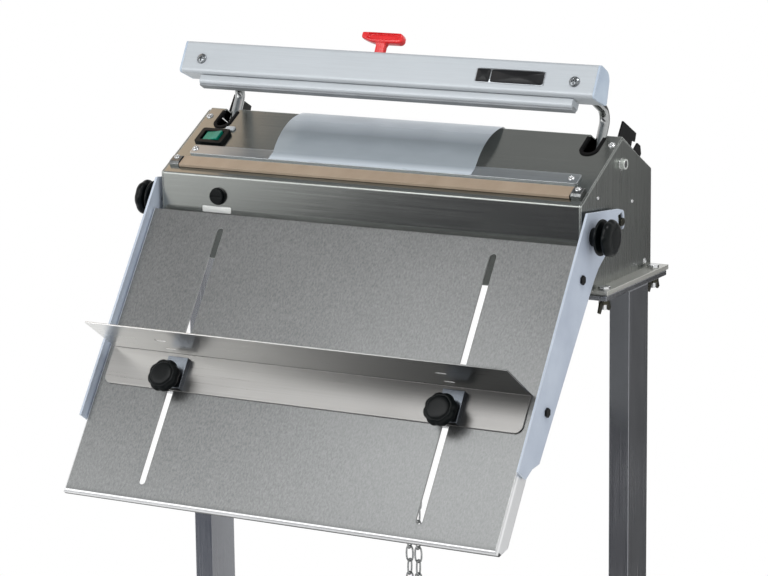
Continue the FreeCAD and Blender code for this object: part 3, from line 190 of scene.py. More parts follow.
def patch(points, around=True, along=False):
    """Points of a grid and the quads between neighbouring rows and columns."""
    rows, columns = points.shape[:2]
    i, j = np.meshgrid(np.arange(rows - (not along)), np.arange(columns - (not around)), indexing="ij")
    below, beside = (i + 1) % rows, (j + 1) % columns
    corners = ((i, j), (i, beside), (below, beside), (below, j))
    quads = np.stack([row * columns + column for row, column in corners], -1)
    return points.reshape(-1, 3), quads.reshape(-1, 4)


def welded(name, points, quads, finish, closed=True):
    """A mesh object of quads, welded, without slivers and, if it is closed, facing outwards."""
    mesh = bpy.data.meshes.new(name)
    mesh.from_pydata(points.tolist(), [], quads.tolist())
    work = bmesh.new()
    work.from_mesh(mesh)
    bmesh.ops.remove_doubles(work, verts=work.verts, dist=WELD)
    bmesh.ops.dissolve_degenerate(work, edges=work.edges, dist=SLIVER)
    if closed:
        bmesh.ops.recalc_face_normals(work, faces=work.faces)
    work.to_mesh(mesh)
    work.free()
    mesh.materials.append(finish)
    made = bpy.data.objects.new(name, mesh)
    bpy.context.collection.objects.link(made)
    return made


def piece(name, patches, finish, body, replaced=(), sharp=40, closed=True):
    """A smooth mesh object from its patches, on the body that carries it."""
    starts = np.cumsum([0] + [len(points) for points, _ in patches])
    points = np.concatenate([points for points, _ in patches])
    quads = np.concatenate([faces + start for (_, faces), start in zip(patches, starts)])
    made = welded(name, points, quads, finish, closed)
    made.data.shade_smooth()
    made.data.set_sharp_from_angle(angle=radians(sharp))
    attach(made, body)
    if replaced:
        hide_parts(*replaced)
    return made


# Finishes

class Shade:
    """A socket of a finish's nodes; arithmetic on it adds Math nodes."""

    def __init__(self, paint, socket):
        self.paint, self.socket = paint, socket

    def math(self, operation, *values):
        return self.paint.node("Math", {"operation": operation}, dict(enumerate(values)))

    def __add__(self, other):
        return self.math("ADD", self, other)

    def __sub__(self, other):
        return self.math("SUBTRACT", self, other)

    def __rsub__(self, other):
        return self.math("SUBTRACT", other, self)

    def __mul__(self, other):
        return self.math("MULTIPLY", self, other)

    def __abs__(self):
        return self.math("ABSOLUTE", self)

    __radd__, __rmul__ = __add__, __mul__


class Paint:
    """A finish in the making: its owner, a material or the world, and the nodes that colour it."""

    def __init__(self, name, owners=None):
        self.owner = (bpy.data.materials if owners is None else owners).new(name)
        self.owner.use_nodes = True
        self.tree = self.owner.node_tree
        self.tree.nodes.clear()

    def node(self, kind, settings=None, sockets=None, output=0):
        """Adds a node: its settings come first, then the values or links of its sockets."""
        made = self.tree.nodes.new("ShaderNode" + kind)
        for key, setting in (settings or {}).items():
            if key == "stops":
                ramp = made.color_ramp.elements
                for spot, (position, tone) in enumerate(setting):
                    stop = ramp[spot] if spot < 2 else ramp.new(position)
                    stop.position, stop.color = position, (tone, tone, tone, 1)
            else:
                setattr(made, key, setting)
        for key, given in (sockets or {}).items():
            if isinstance(given, Shade):
                self.tree.links.new(given.socket, made.inputs[key])
            else:
                made.inputs[key].default_value = given
        return Shade(self, made.outputs[output])

    def place(self, scale=(1, 1, 1)):
        """Object coordinates, stretched to a pattern's own scale."""
        return self.node("Mapping", {}, {"Vector": self.node("TexCoord", output="Object"), "Scale": scale})

    def along(self, axis):
        """One of the object coordinates, in metres."""
        return self.node("SeparateXYZ", {}, {0: self.place()}, output=axis)

    def noise(self, scale, detail=3):
        """Cloudy noise in object coordinates stretched by a scale."""
        return self.node("TexNoise", {}, {"Vector": self.place(scale), "Scale": 1, "Detail": detail})

    def ramp(self, value, *stops):
        """Grey between stops of (value, grey)."""
        return self.node("ValToRGB", {"stops": stops}, {0: value})

    def step(self, value, low, high, base=0, window=25, tones=(0, 1)):
        """Mask that goes from one tone to another between two distances in millimetres; both lie in
        a window above a base, because a ramp reads values from 0 to 1."""
        stops = [((edge - base) / window, tone) for edge, tone in zip((low, high), tones)]
        return self.ramp((value - base * MM) * (1 / (window * MM)), *stops)

    def mix(self, share, first, second):
        """Colour between two colours."""
        return self.node("Mix", {"data_type": "RGBA"}, {0: share, 6: first, 7: second}, output=2)

    def dot(self, first, second):
        """Dot product of two vectors."""
        return self.node("VectorMath", {"operation": "DOT_PRODUCT"}, {0: first, 1: second}, output="Value")

    def bump(self, strength, distance, height, **normal):
        """Normal tipped by the slope of a height."""
        return self.node("Bump", {}, {"Strength": strength, "Distance": distance, "Height": height, **normal})

    def edges(self, radius):
        """Softened normal, and a mask that is one where it departs from the face, along edges."""
        soft = self.node("Bevel", {"samples": 6}, {"Radius": radius})
        face = self.node("NewGeometry", output="Normal")
        return soft, self.ramp(1 - self.dot(soft, face), (0.004, 0), (0.12, 1))

    def surface(self, **sockets):
        """The shader and the material's output."""
        named = {key.replace("_", " "): given for key, given in sockets.items()}
        return self.end(self.node("BsdfPrincipled", {}, named))

    def end(self, shader, kind="Material"):
        """Joins a shader to the output of the finish, and gives its owner."""
        output = self.tree.nodes.new("ShaderNodeOutput" + kind)
        self.tree.links.new(shader.socket, output.inputs["Surface"])
        return self.owner


def tint(colour, share=1.0):
    """A colour given in picture values from 0 to 255, in linear light."""
    value = np.array(colour, float) / 255
    linear = np.where(value <= 0.04045, value / 12.92, ((value + 0.055) / 1.055) ** 2.4) * share
    return (*np.minimum(linear, 1).tolist(), 1)


def along_table(paint, axis, start=0):
    """Distance in metres along an axis of the table's frame, from a start in millimetres on it."""
    way = (table(axis) - table((0, 0, 0))) / MM
    foot = table(np.array(axis) * start)
    return paint.dot(paint.place(), tuple(way)) - float(way @ foot)


def brushed(name, dark, light, grain, rough=0.34, metal=1.0, edge=(0.5, 1.5), depth=0.02,
            edge_radius=0.0012, painted_light=None):
    """Brushed metal: long fine streaks and slow cloudy patches between two tones, and lighter edges, partly
    rubbed and partly a painted highlight along bends.
    A function for painted light, if given, changes the colour by place, as the stop's painted reflection does."""
    paint = Paint(name)
    streak = paint.noise(grain, 4)
    fine = paint.noise(tuple(3.1 * s for s in grain), 2)
    cloud = paint.noise((9, 9, 9), 3)
    soft, edge_rubbing_and_highlight = paint.edges(edge_radius)
    share = paint.ramp(streak * 0.45 + fine * 0.25 + cloud * 0.3, (0.34, 0), (0.66, 1))
    body = paint.mix(share, tint(dark), tint(light))
    body = painted_light(paint, body) if painted_light else body
    colour = paint.mix(edge_rubbing_and_highlight * edge[0], body, tint(light, edge[1]))
    return paint.surface(Base_Color=colour, Metallic=metal, Roughness=(rough - 0.05) + 0.1 * share,
                         Normal=paint.bump(depth, 0.001, streak + fine, Normal=soft))


def stop_painted_reflection(paint, body):
    """Painted reflection on the stop: its strip on the table is painted darker from its middle to its right
    end, and its standing leaf is painted from light on the left to dark on the right, in place of the
    reflections seen in them, by the place across and the height off the table."""
    across = paint.along("X")
    # Painted dark reflection over the strip's right half.
    dull = 0.42 * paint.step(across, -80, 100, base=-250, window=500)
    strip = paint.mix(dull, body, tint((0, 0, 0)))
    # Painted reflection on the standing leaf: light at its left end, dark at its right end.
    leaf = paint.mix(paint.step(across, -225, 225, base=-250, window=500),
                     tint((238, 238, 236)), tint((114, 116, 116)))
    return paint.mix(paint.step(along_table(paint, UP), 3, 5), strip, leaf)


def moulded(name, dark, light, rough=0.4, pebble=1400, depth=0.05, edge=0.25, coat=0.0, gloss=0.5,
            edge_radius=0.0012):
    """Moulded or painted skin: fine pebble grain, slow uneven tone, and lighter edges, partly rubbed and
    partly a painted highlight.
    """
    paint = Paint(name)
    grain = paint.noise((pebble,) * 3, 2)
    cloud = paint.noise((26, 26, 26), 4)
    soft, edge_rubbing_and_highlight = paint.edges(edge_radius)
    share = paint.ramp(cloud * 0.7 + grain * 0.3, (0.35, 0), (0.65, 1))
    colour = paint.mix(edge_rubbing_and_highlight * edge, paint.mix(share, tint(dark), tint(light)), tint(light, 1.9))
    return paint.surface(Base_Color=colour, Roughness=(rough - 0.06) + 0.12 * share, Coat_Weight=coat,
                         Specular_IOR_Level=gloss, Normal=paint.bump(depth, 0.001, grain, Normal=soft))


def woven(name, dark, light):
    """Glass cloth under a smooth coat: crossed threads as two waves at right angles."""
    paint = Paint(name)
    threads = [paint.node("TexWave", {"bands_direction": way}, {
        "Vector": paint.place(), "Scale": 620, "Distortion": 0.6, "Detail": 1}) for way in "XY"]
    cloud = paint.noise((40, 12, 12), 4)
    soft, edge_rubbing_and_highlight = paint.edges(0.001)
    share = paint.ramp(threads[0] * 0.2 + threads[1] * 0.2 + cloud * 0.6, (0.3, 0), (0.7, 1))
    # Lighter edges, partly rubbed and partly a painted highlight.
    colour = paint.mix(edge_rubbing_and_highlight * 0.35, paint.mix(share, tint(dark), tint(light)), tint(light, 1.4))
    return paint.surface(Base_Color=colour, Roughness=0.3 + 0.1 * share,
                         Normal=paint.bump(0.08, 0.0005, threads[0] + threads[1], Normal=soft))


def clear_film(name, body, milk):
    """Thin clear film: an even grey body, whiter along the fold over the ridge and where it lies on the
    guide strip, by height."""
    paint = Paint(name)
    height = paint.along("Z")
    haze = paint.noise((30, 90, 90), 2)
    fold = paint.step(height, 946, 957, base=900, window=100)
    foot = paint.step(height, 920.5, 924.5, base=900, window=100, tones=(1, 0))
    milky = fold.math("MAXIMUM", fold * 0.8, foot * 0.7) + haze * 0.12
    return paint.surface(Base_Color=paint.mix(milky, tint(body), tint(milk)), Roughness=0.2 + 0.1 * milky,
                         Alpha=0.6 + 0.28 * milky, Specular_IOR_Level=0.35,
                         Normal=paint.bump(0.05, 0.002, haze))


def mottled(name, dark, light, bright, grain, rough=0.3, contrast=0.16, edge_radius=0.0014):
    """Short-grained sheet steel: flecks of two sizes, longer down the slope, over slow cloudy patches.
    The bends at its front and at its sides are drawn smooth and near white, a painted highlight, with a darker
    band of painted shade above the front one and painted shade at its foot under it;
    all below the top face is painted paler, as painted light, and edges are lighter, partly rubbed and partly
    a painted highlight, by the distances along the slope, from the middle and off the face."""
    paint = Paint(name)
    down = along_table(paint, BACK, TABLE_END)
    rise = along_table(paint, UP)
    # Painted highlight: near-white paint on the front bend and on the side bends.
    front = paint.step(down, 3, 4.25, tones=(1, 0))
    side = paint.step(abs(paint.along("X")), 261, 262, base=250)
    # Painted shade: a darker band above the front bend, and dark paint at the foot of the front bend.
    fold_shade = paint.step(down, 4.25, 8.5, tones=(1, 0))
    hem_shade = front * paint.step(rise, -4.25, -3, base=-20, tones=(1, 0))
    # Painted light: all below the top face is painted paler.
    under = paint.step(rise, -1.25, -0.25, base=-20, tones=(1, 0))
    fleck = paint.noise(grain, 3)
    speck = paint.noise(tuple(2.7 * s for s in grain), 2)
    cloud = paint.noise((7, 7, 7), 3)
    soft, edge_rubbing_and_highlight = paint.edges(edge_radius)
    share = paint.ramp(fleck * 0.55 + speck * 0.3 + cloud * 0.15, (0.5 - contrast, 0), (0.5 + contrast, 1))
    plain = paint.mix(fold_shade * 0.4, paint.mix(share, tint(dark), tint(light)), tint(dark, 0.5))
    plain = paint.mix(under * 0.85, plain, tint(light, 2.4))
    plain = paint.mix(edge_rubbing_and_highlight * 0.6, plain, tint(light, 1.5))
    # Painted highlight over the bends, then painted shade at the foot of the front bend.
    colour = paint.mix(front.math("MAXIMUM", front, side), plain, tint(bright))
    colour = paint.mix(hem_shade, colour, tint(dark, 0.45))
    return paint.surface(Base_Color=colour, Metallic=0.85, Roughness=(rough - 0.05) + 0.1 * share,
                         Normal=paint.bump(0.05, 0.0006, fleck + speck, Normal=soft))


# Grain of the metals: scale of the noise along X, Y and Z
LONG_X, ALONG_X, ALONG_Y = (6, 800, 800), (14, 700, 700), (300, 8, 300)
ALONG_Z, SIDE_Z, TABLE_GRAIN = (800, 800, 6), (900, 700, 7), (560, 300, 300)
FINE, MEDIUM, COARSE = (300, 300, 300), (200, 200, 200), (160, 160, 160)

# Finish of each material slot: how it is made, its two tones and its options
SLOT_FINISHES = {
    # Edge options lighten edges, partly as rubbing and partly as a painted highlight along bends, strongest on
    # the housing.
    "housing_steel": (brushed, (144, 147, 144), (154, 157, 154), dict(
        grain=LONG_X, rough=0.21, edge=(0.7, 1.8), depth=0.012, edge_radius=0.002)),
    "stand_steel": (brushed, (146, 148, 153), (155, 157, 161), dict(
        grain=ALONG_Z, rough=0.24, edge=(0.2, 1.2), depth=0.006)),
    # Its bends are painted near white, a painted highlight.
    "table_steel": (mottled, (102, 104, 104), (133, 134, 134), dict(
        bright=(234, 235, 236), grain=TABLE_GRAIN, rough=0.36)),
    "arm_aluminium": (brushed, (176, 182, 187), (185, 191, 196), dict(
        grain=ALONG_X, rough=0.42, metal=0.25, edge=(0.4, 1.1))),
    "plated_steel": (brushed, (196, 198, 200), (228, 229, 230), dict(grain=COARSE, rough=0.16)),
    "pale_enamel": (moulded, (172, 182, 198), (186, 196, 210), dict(rough=0.4, edge=0.4)),
    "black_enamel": (moulded, (6, 6, 7), (11, 11, 12), dict(rough=0.42, gloss=0.2, edge=0.15)),
    "black_plastic": (moulded, (3, 6, 7), (7, 12, 13), dict(rough=0.32, pebble=900, gloss=0.17)),
    "cap_plastic": (moulded, (164, 178, 196), (186, 200, 214), dict(rough=0.42)),
    "red_plastic": (moulded, (206, 22, 28), (228, 34, 36), dict(rough=0.3, coat=0.2, edge=0.1)),
    "green_plastic": (moulded, (3, 112, 92), (10, 134, 112), dict(rough=0.24, gloss=0.3, edge=0.2)),
    "tan_cloth": (woven, (146, 128, 109), (166, 149, 130), {}),
    "black_rubber": (moulded, (4, 4, 5), (9, 9, 10), dict(rough=0.62, pebble=600, gloss=0.15, edge=0.1)),
    "silicone": (moulded, (120, 124, 128), (140, 144, 148), dict(rough=0.55)),
    "insulator": (moulded, (120, 112, 100), (142, 134, 122), dict(rough=0.6, pebble=300)),
    "element_alloy": (brushed, (138, 132, 124), (172, 166, 158), dict(grain=ALONG_X, rough=0.3)),
    "bush_brass": (brushed, (170, 136, 70), (204, 172, 102), dict(grain=FINE, rough=0.3)),
    "soft_iron": (brushed, (84, 84, 86), (112, 112, 114), dict(grain=MEDIUM, rough=0.46)),
    "board": (moulded, (28, 84, 52), (42, 108, 68), dict(rough=0.4, pebble=400)),
    "clear_film": (clear_film, (162, 172, 180), (213, 222, 231), {}),
}
FINISHES = {name: make(name, dark, light, **options)
            for name, (make, dark, light, options) in SLOT_FINISHES.items()}

# Metals of single nodes that differ from their slot's: name, nodes, two tones and options
NODE_METALS = (
    # The stop's steel carries a painted reflection, darker towards its right end.
    ("stop_steel", ["stop_angle"], (152, 151, 149), (160, 159, 157), dict(
        grain=LONG_X, rough=0.31, depth=0.004, painted_light=stop_painted_reflection)),
    ("side_steel", ["side_panel_left", "side_panel_right"], (145, 148, 146), (152, 155, 152), dict(
        grain=SIDE_Z, rough=0.28, edge=(0.7, 1.8), depth=0.006, edge_radius=0.002)),
    ("bar_steel", ["mount_bars"], (186, 186, 180), (202, 202, 197), dict(
        grain=ALONG_Y, rough=0.34, metal=0.7)),
    ("rod_chrome", ["lever_rods"], (150, 152, 152), (176, 178, 178), dict(
        grain=FINE, rough=0.14, depth=0.005)),
    ("chain_plating", ["pull_chain"], (138, 140, 140), (172, 174, 174), dict(grain=MEDIUM, rough=0.24)),
    ("clip_steel", ["stop_clips"], (112, 118, 126), (136, 142, 150), dict(grain=MEDIUM, rough=0.3)),
    ("cap_nut_steel", ["shaft_caps"], (188, 194, 188), (208, 213, 208), dict(
        grain=COARSE, rough=0.34, metal=0.4)),
    ("dark_plating", ["wing_nuts", "table_guide_bolts"], (48, 47, 40), (74, 72, 62), dict(
        grain=MEDIUM, rough=0.34)),
    ("guide_aluminium", ["film_guide_strip"], (176, 181, 184), (194, 198, 201), dict(
        grain=ALONG_X, rough=0.34)),
    ("clamp_metal", ["element_clamps"], (96, 98, 98), (140, 142, 142), dict(grain=MEDIUM, rough=0.3)),
)
OWN_FINISHES = {}
for metal, owners, dark, light, options in NODE_METALS:
    OWN_FINISHES.update(dict.fromkeys(owners, brushed(metal, dark, light, **options)))
for row in frame["record"]["subparts"]:
    skin = nodes[row["node"]].data
    skin.materials.clear()
    skin.materials.append(OWN_FINISHES.get(row["node"], FINISHES[row["material_slot"]]))


# Knobs, handle and levers: profiles are rows of (radius, height, rounding)

def knob(kind, name, rim):
    """A knob's surface on its own body, in place of the plain solid."""
    body = f"{kind}_knob_{name}"
    piece(f"{kind}_grip_{name}", [patch(rim)], FINISHES["black_plastic"], body, [body])


def star_knob(side, name):
    """Hand knob: its screw, a collar, a rounded rim with shallow hollows, and a wide low disc set in
    the top by a groove."""
    profile = rounded([
        (0, -11, 0), (3.4, -11, 0.4), (3.4, STAR_BASE, 0.2), (8, STAR_BASE, 0.8),
        (8, STAR_BASE + 5.4, 0.6), (15.6, STAR_BASE + 5.8, 1.2), (STAR_RADIUS, STAR_BASE + 8.2, 1.8),
        (STAR_RADIUS, STAR_TOP - 6, 1.4), (17.2, STAR_TOP - 3.4, 1.6), (14.4, STAR_TOP - 1.7, 1.1),
        (13.5, STAR_TOP - 2.6, 0.6), (12.7, STAR_TOP - 0.9, 0.9), (9.4, STAR_TOP - 0.2, 3), (0, STAR_TOP, 0)])
    rim = revolve(profile, 112, lobed(8, 0.065, 8.5, STAR_RADIUS, STAR_BASE + 1))
    knob("star", name, table(rim + np.array([side * STAR_X, STAR_Y, 0])))


def side_knob(side, name):
    """Clamp knob: a screw, a hub, a thin skirt that stands off the arm, a waist and a rounded head
    with faint hollows round its rim."""
    profile = rounded([
        (0, -16, 0), (4, -16, 0.4), (4, 0.3, 0.1), (10, 0.3, 0.6), (9.6, 8.4, 1.4), (18.4, 8.6, 1),
        (19.5, 9.6, 0.8), (19.3, 11.6, 0.9), (13, 12.4, 2), (8.4, 12.8, 1.6), (8, 15.4, 1.2),
        (16.6, 16, 1.4), (KNOB_RADIUS, 18.4, 2.4), (KNOB_RADIUS, 22.2, 2.8), (17.2, 26, 3.2),
        (11.6, 27, 1.6), (10.6, 26.2, 0.9), (0, 25.8, 0)])
    rim = revolve(profile, 112, lobed(7, 0.05, 10, KNOB_RADIUS, 14))
    x, y, out = np.moveaxis(rim, -1, 0)
    knob("side", name, floor(np.stack([side * (KNOB_X + out), KNOB_Y + x, KNOB_Z + side * y], -1)))


def pull_handle():
    """Boat-shaped bar on a stem. Sections along the bar are superellipses between a level top and an
    underside that sweeps up to a thin left tip and is rounded at the right end; the front is hollowed
    by a steep-sided oval for the fingers."""
    left, right, under, top, middle, half_deep = -43.5, 9.5, 90.8, 103.0, -78.0, 6.0
    tip_start, tip_lift, tip_round, nose_long, nose_drop = -25, 5.6, 2.4, 5.5, 0.6
    hollow_x, hollow_half, hollow_z, hollow_tall, hollow_deep = -15, 19.5, 98.2, 3.5, 3.4
    stem_x, stem_wide, stem_deep = -17.2, 11.6, 7
    share = (1 - np.cos(np.linspace(0, pi, 64))) / 2
    across = left + (right - left) * share
    tip = np.clip((tip_start - across) / (tip_start - left), 0, 1)
    nose = np.clip((across - right + nose_long) / nose_long, 0, 1)
    point = np.clip((left + tip_round - across) / tip_round, 0, 1)
    round_end, thin_end = (np.sqrt(np.clip(1 - end ** 2, 0, 1)) for end in (nose, point))
    low = under + tip_lift * tip ** 1.5
    tall = (top - low) / 2 * round_end * thin_end
    centre = (low + top) / 2 - nose_drop * nose ** 2
    half = half_deep * np.sqrt(round_end) * thin_end * (1 - 0.25 * tip ** 2)
    angle = turns(72)
    deep = half[:, None] * blunt(np.cos(angle), 0.42)
    high = centre[:, None] + tall[:, None] * blunt(np.sin(angle), 0.55)
    far = ((across[:, None] - hollow_x) / hollow_half) ** 4 + ((high - hollow_z) / hollow_tall) ** 4
    hollow = hollow_deep * np.clip((1.25 - far) / 0.5, 0, 1) * (deep < 0)
    bar = np.stack([across[:, None] + 0 * deep, middle + deep + hollow, high], -1)
    flare = [(0.3, 62), (0, 62.4), (0, 87.5), (-0.7, 90.2), (-2.2, 92.6)]
    stem = slab(stem_wide, stem_deep, flare, squareness=7) + np.array([stem_x, middle, 0])
    piece("handle_grip", [patch(arm(bar)), patch(arm(stem))], FINISHES["red_plastic"], "arm",
          ["arm_handle"], sharp=50)


def rods():
    """Bent round rods: straight out of the hub, a quarter circle forward, straight into the arm."""
    bend = np.linspace(0, pi / 2, 14)
    rise = np.stack([0 * bend, ROD_BEND * (np.cos(bend) - 1),
                     ROD_RISE - ROD_BEND + ROD_BEND * np.sin(bend)], -1)
    path = np.concatenate([[[0, 0, ROD_START]], rise, [[0, ARM_FRONT + ROD_SUNK, ROD_RISE]]])
    rod = capped(swept(path, np.gradient(path, axis=0), RIGHT, ROD_RADIUS, 32))
    bore, face, wall = SHAFT_RADIUS + HUB_PLAY, HUB_RADIUS - HUB_CHAMFER, HUB_HALF - HUB_CHAMFER
    hub = revolve(rounded([
        (bore, -HUB_HALF, 0), (face, -HUB_HALF, 0.8), (HUB_RADIUS, -wall, 0.5), (HUB_RADIUS, wall, 0.5),
        (face, HUB_HALF, 0.5), (bore, HUB_HALF, 0)]), 40)[..., [2, 0, 1]]
    patches = []
    for side in (-1, 1):
        shift = np.array([side * LEVER_X, 0, 0])
        patches += [patch(arm(rod + shift)), patch(arm(hub + shift), along=True)]
    piece("bent_rods", patches, OWN_FINISHES["lever_rods"], "arm", ["lever_rods"])


for sign, label in ((-1, "left"), (1, "right")):
    star_knob(sign, label)
    side_knob(sign, label)
pull_handle()
rods()


# Chain

def ring(long, wide, wire):
    """Chain link upright in the XZ plane: round wire along a superellipse."""
    angle = turns(16)
    path = np.stack([(wide - wire) / 2 * blunt(np.cos(angle), 0.7), 0 * angle,
                     (long - wire) / 2 * blunt(np.sin(angle), 0.85)], -1)
    along = np.roll(path, -1, axis=0) - np.roll(path, 1, axis=0)
    return swept(path, along, BACK, wire / 2, 8)


def chain():
    """Two strands of rings, every second one turned a quarter, and the shackle on the pedal's pin."""
    link = ring(LINK_LONG, LINK_WIDE, LINK_WIRE)
    shackle = ring(SHACKLE_LONG, SHACKLE_WIDE, SHACKLE_WIRE)
    quarter, across = link[..., [1, 0, 2]], shackle[..., [1, 0, 2]]
    hung = [(link if number % 2 else quarter, x, LINK_FIRST - LINK_PITCH * number)
            for x, count in ((MAIN_X, MAIN_LINKS), (SPARE_X, SPARE_LINKS)) for number in range(count)]
    hung.append((across, MAIN_X, SHACKLE_DROP))
    patches = [patch(floor(shape + np.array(EYE) + np.array([x, 0, drop])), along=True)
               for shape, x, drop in hung]
    piece("linked_chain", patches, OWN_FINISHES["pull_chain"], "chain", ["pull_chain"])


chain()


# Film

def film():
    """Clear sheet: flat on the guide strip, one parabolic arch to the ridge, then down the rear slope,
    with faint ripples along the arch that die out at both of its ends."""
    c, s = cos(radians(SLOPE)), sin(radians(SLOPE))
    lift = GUIDE_THICK + FILM_GAP
    knee = GUIDE_BACK - FILM_KNEE
    share = np.linspace(0, 1, 40)
    arch = 4 * share * (1 - share)
    reach = np.linspace(0.06, 1, 9)[:, None]
    up = np.concatenate([[GUIDE_FRONT, (GUIDE_FRONT + knee) / 2], knee + (RIDGE - knee) * share])
    off = np.concatenate([[lift - 0.1, lift - 0.05], lift + (FILM_RIDGE_GAP - lift) * share + FILM_BOW * arch])
    swell = np.concatenate([[0, 0], arch, np.zeros(len(reach))])
    slope = np.stack([up * c - off * s, up * s + off * c], -1)
    fall = atan2(RIDGE * s - BACK_Z, BACK_Y - RIDGE * c)
    down, away = np.array([cos(fall), -sin(fall)]), np.array([sin(fall), cos(fall)])
    ridge = np.array([RIDGE * c, RIDGE * s])
    rear = ridge + down * FILM_TAIL * reach + away * (0.9 + 0.9 * np.exp(-(reach / 0.2) ** 2))
    path = np.concatenate([slope, rear])
    across = np.linspace(-0.5, 0.5, 70)
    ripple = FILM_RIPPLE * swell[:, None] * (np.sin(23 * across) + 0.6 * np.sin(41 * across + 1.3))[None]
    y = path[:, :1] - ripple * s
    z = path[:, 1:] + ripple * c
    x = FILM_X + FILM_WIDTH * across[None] + 0 * y
    made = piece("clear_sheet", [patch(machine(np.stack([x, y, z], -1)), around=False)],
                 FINISHES["clear_film"], "base", ["film_sheet"], closed=False)


film()


# Bare plates and screws

def bare_plates():
    """Blank rating plate with its silver rim and divider on the arm, blank white label on the housing,
    and a small clear tab beside the switch: slabs with softened edges."""
    silver = brushed("plate_silver", (150, 154, 158), (184, 188, 192), ALONG_X, rough=0.3)
    black = moulded("plate_black", (12, 13, 15), (20, 21, 24), rough=0.4, pebble=500, gloss=0.3)
    white = moulded("label_white", (206, 208, 206), (222, 224, 222), rough=0.5, pebble=700, edge=0.05)
    clear = moulded("tab_clear", (176, 184, 190), (206, 212, 216), rough=0.2, coat=0.5)
    face = seat(arm, (PLATE_X, ARM_FRONT, ARM_LOW + PLATE_UP), RIGHT, UP)
    front = seat(machine, (-188, 0, -38), RIGHT, UP)
    corner = seat(plate, (-213.7, 83.7, 0), RIGHT, BACK)
    rim = slab(PLATE_LONG, PLATE_TALL, [(0, 0), (0, 0.35), (0.3, 0.5)], 14)
    raised = [(0.1, 0.4), (0, 0.5), (0, 0.62), (0.25, 0.75)]
    halves = [slab(wide, 14.8, raised, 14) + np.array([x, 0, 0]) for wide, x in ((62.4, 8.6), (16, -31.8))]
    label = slab(37.4, 7.3, [(0.2, 0.02), (0, 0.1), (0, 0.3), (0.3, 0.4)], 12)
    tab = slab(12, 7, [(0.4, 0.05), (0, 0.4), (0, 1.8), (0.8, 2.5)], 5)
    piece("rating_rim", [patch(face(rim))], silver, "arm")
    piece("rating_plate", [patch(face(half)) for half in halves], black, "arm")
    piece("blank_label", [patch(front(label))], white, "base")
    piece("clear_tab", [patch(corner(tab))], clear, "base")


def screws():
    """Cross-recessed heads on the arm's face, the plate and the guide strip, and hollow rivets on the
    sides."""
    dull = brushed("dull_plating", (112, 116, 120), (150, 154, 157), MEDIUM, rough=0.26)
    patches = []
    for side in (-1, 1):
        head = seat(arm, (side * ARM_SCREW_X, ARM_FRONT, ARM_LOW + ARM_SCREW_UP), RIGHT, UP)
        patches.append(patch(head(screw_head(5.8, 3))))
    piece("arm_screw_heads", patches, dull, "arm", ["arm_screws"])
    patches = []
    for x, up, out, radius, rise in (
            (-252.5, 105, 0, 4, 2.2), (252.5, 105, 0, 4, 2.2), (-237, 42, GUIDE_THICK, 3.6, 2),
            (232, 42, GUIDE_THICK, 3.6, 2), (-249, 21, 5.5, 3.4, 1.8), (249, 21, 5.5, 3.4, 1.8)):
        patches.append(patch(seat(plate, (x, up, out), RIGHT, BACK)(screw_head(radius, rise))))
    for side in (-1, 1):
        for y, z, radius in ((40.6, 2.3, 1.9), (127.7, -14.8, 1.9), (162, -87, 3.3)):
            rivet = seat(machine, (side * SIDE_X, y, z), (0, side, 0), UP)
            patches.append(patch(rivet(screw_head(radius, 1.2, slots=0))))
    piece("cover_screw_heads", patches, FINISHES["plated_steel"], "base", ["cover_screws"])


bare_plates()
screws()


# Stage, light and camera, in metres

ROOM = ((0.5, 1.0), (0.77, 0.9), (0.86, 0.42), (1.0, 0.36))
FLOOR_RADIUS, FLOOR_DROP = 1.5, 0.0005
CARDS = (
    ("card_front", (0.155, -0.9, 0.81), (0.595, 0, 0), (0.88, 0, 0.39), (0.09, 0.09, 0.1)),
    ("card_leg", (-0.17, -0.9, 0.27), (0.19, 0, 0), (0, 0, 0.36), (0.04, 0.04, 0.05)),
    ("card_left", (-0.83, -0.92, 0.92), (0.28, 0, 0), (0.2, 0, 0.12), (3, 3, 3)),
    ("card_low", (-0.86, -0.9, 0.12), (0.22, 0, 0), (0, 0, 0.2), (0.05, 0.065, 0.11)),
    ("card_side", (0.6, 0.95, 0.5), (0.28, 0, 0), (0, 0, 0.6), (0.1, 0.1, 0.1)),
    ("card_warm", (-0.66, 0.2, 1.4), (0.16, 0, 0), (0, 0.2, 0.02), (1.35, 1.05, 0.8)),
)
LAMPS = (
    ("key", (1.0, -0.5, 3.0), (0, 0, 0.8), (0.6, 0.6), 16),
    ("face", (-0.2, -1.0, 1.55), (0.15, -0.25, 0.58), (0.8, 0.4), 3.9),
    ("low", (-0.75, -1.0, 1.25), (-0.1, -0.25, 0.58), (0.8, 0.3), 1.8),
)
VIEW_PLACE = (1.5645, -2.8128, 1.4545)
VIEW_YAW, VIEW_PITCH, VIEW_ROLL = 29.1, 11.813, -0.679
FOCAL_PIXELS, PICTURE_PIXELS, SENSOR_WIDTH = 2981.88, 768, 36


def surround():
    """Room light: white below the horizon, dimmer towards the top, in stops of a ramp over height."""
    paint = Paint("studio", bpy.data.worlds)
    place = paint.node("TexCoord", output="Generated")
    height = paint.node("SeparateXYZ", {}, {0: place}, output="Z")
    level = paint.node("MapRange", {}, {"Value": height, "From Min": -1})
    shade = paint.node("Background", {}, {"Color": paint.ramp(level, *ROOM)})
    bpy.context.scene.world = paint.end(shade, "World")


def stage_mesh(name, grid, finish, around):
    """A sheet of the studio that isn't part of the machine."""
    made = welded(name, *patch(grid, around), finish)
    return made


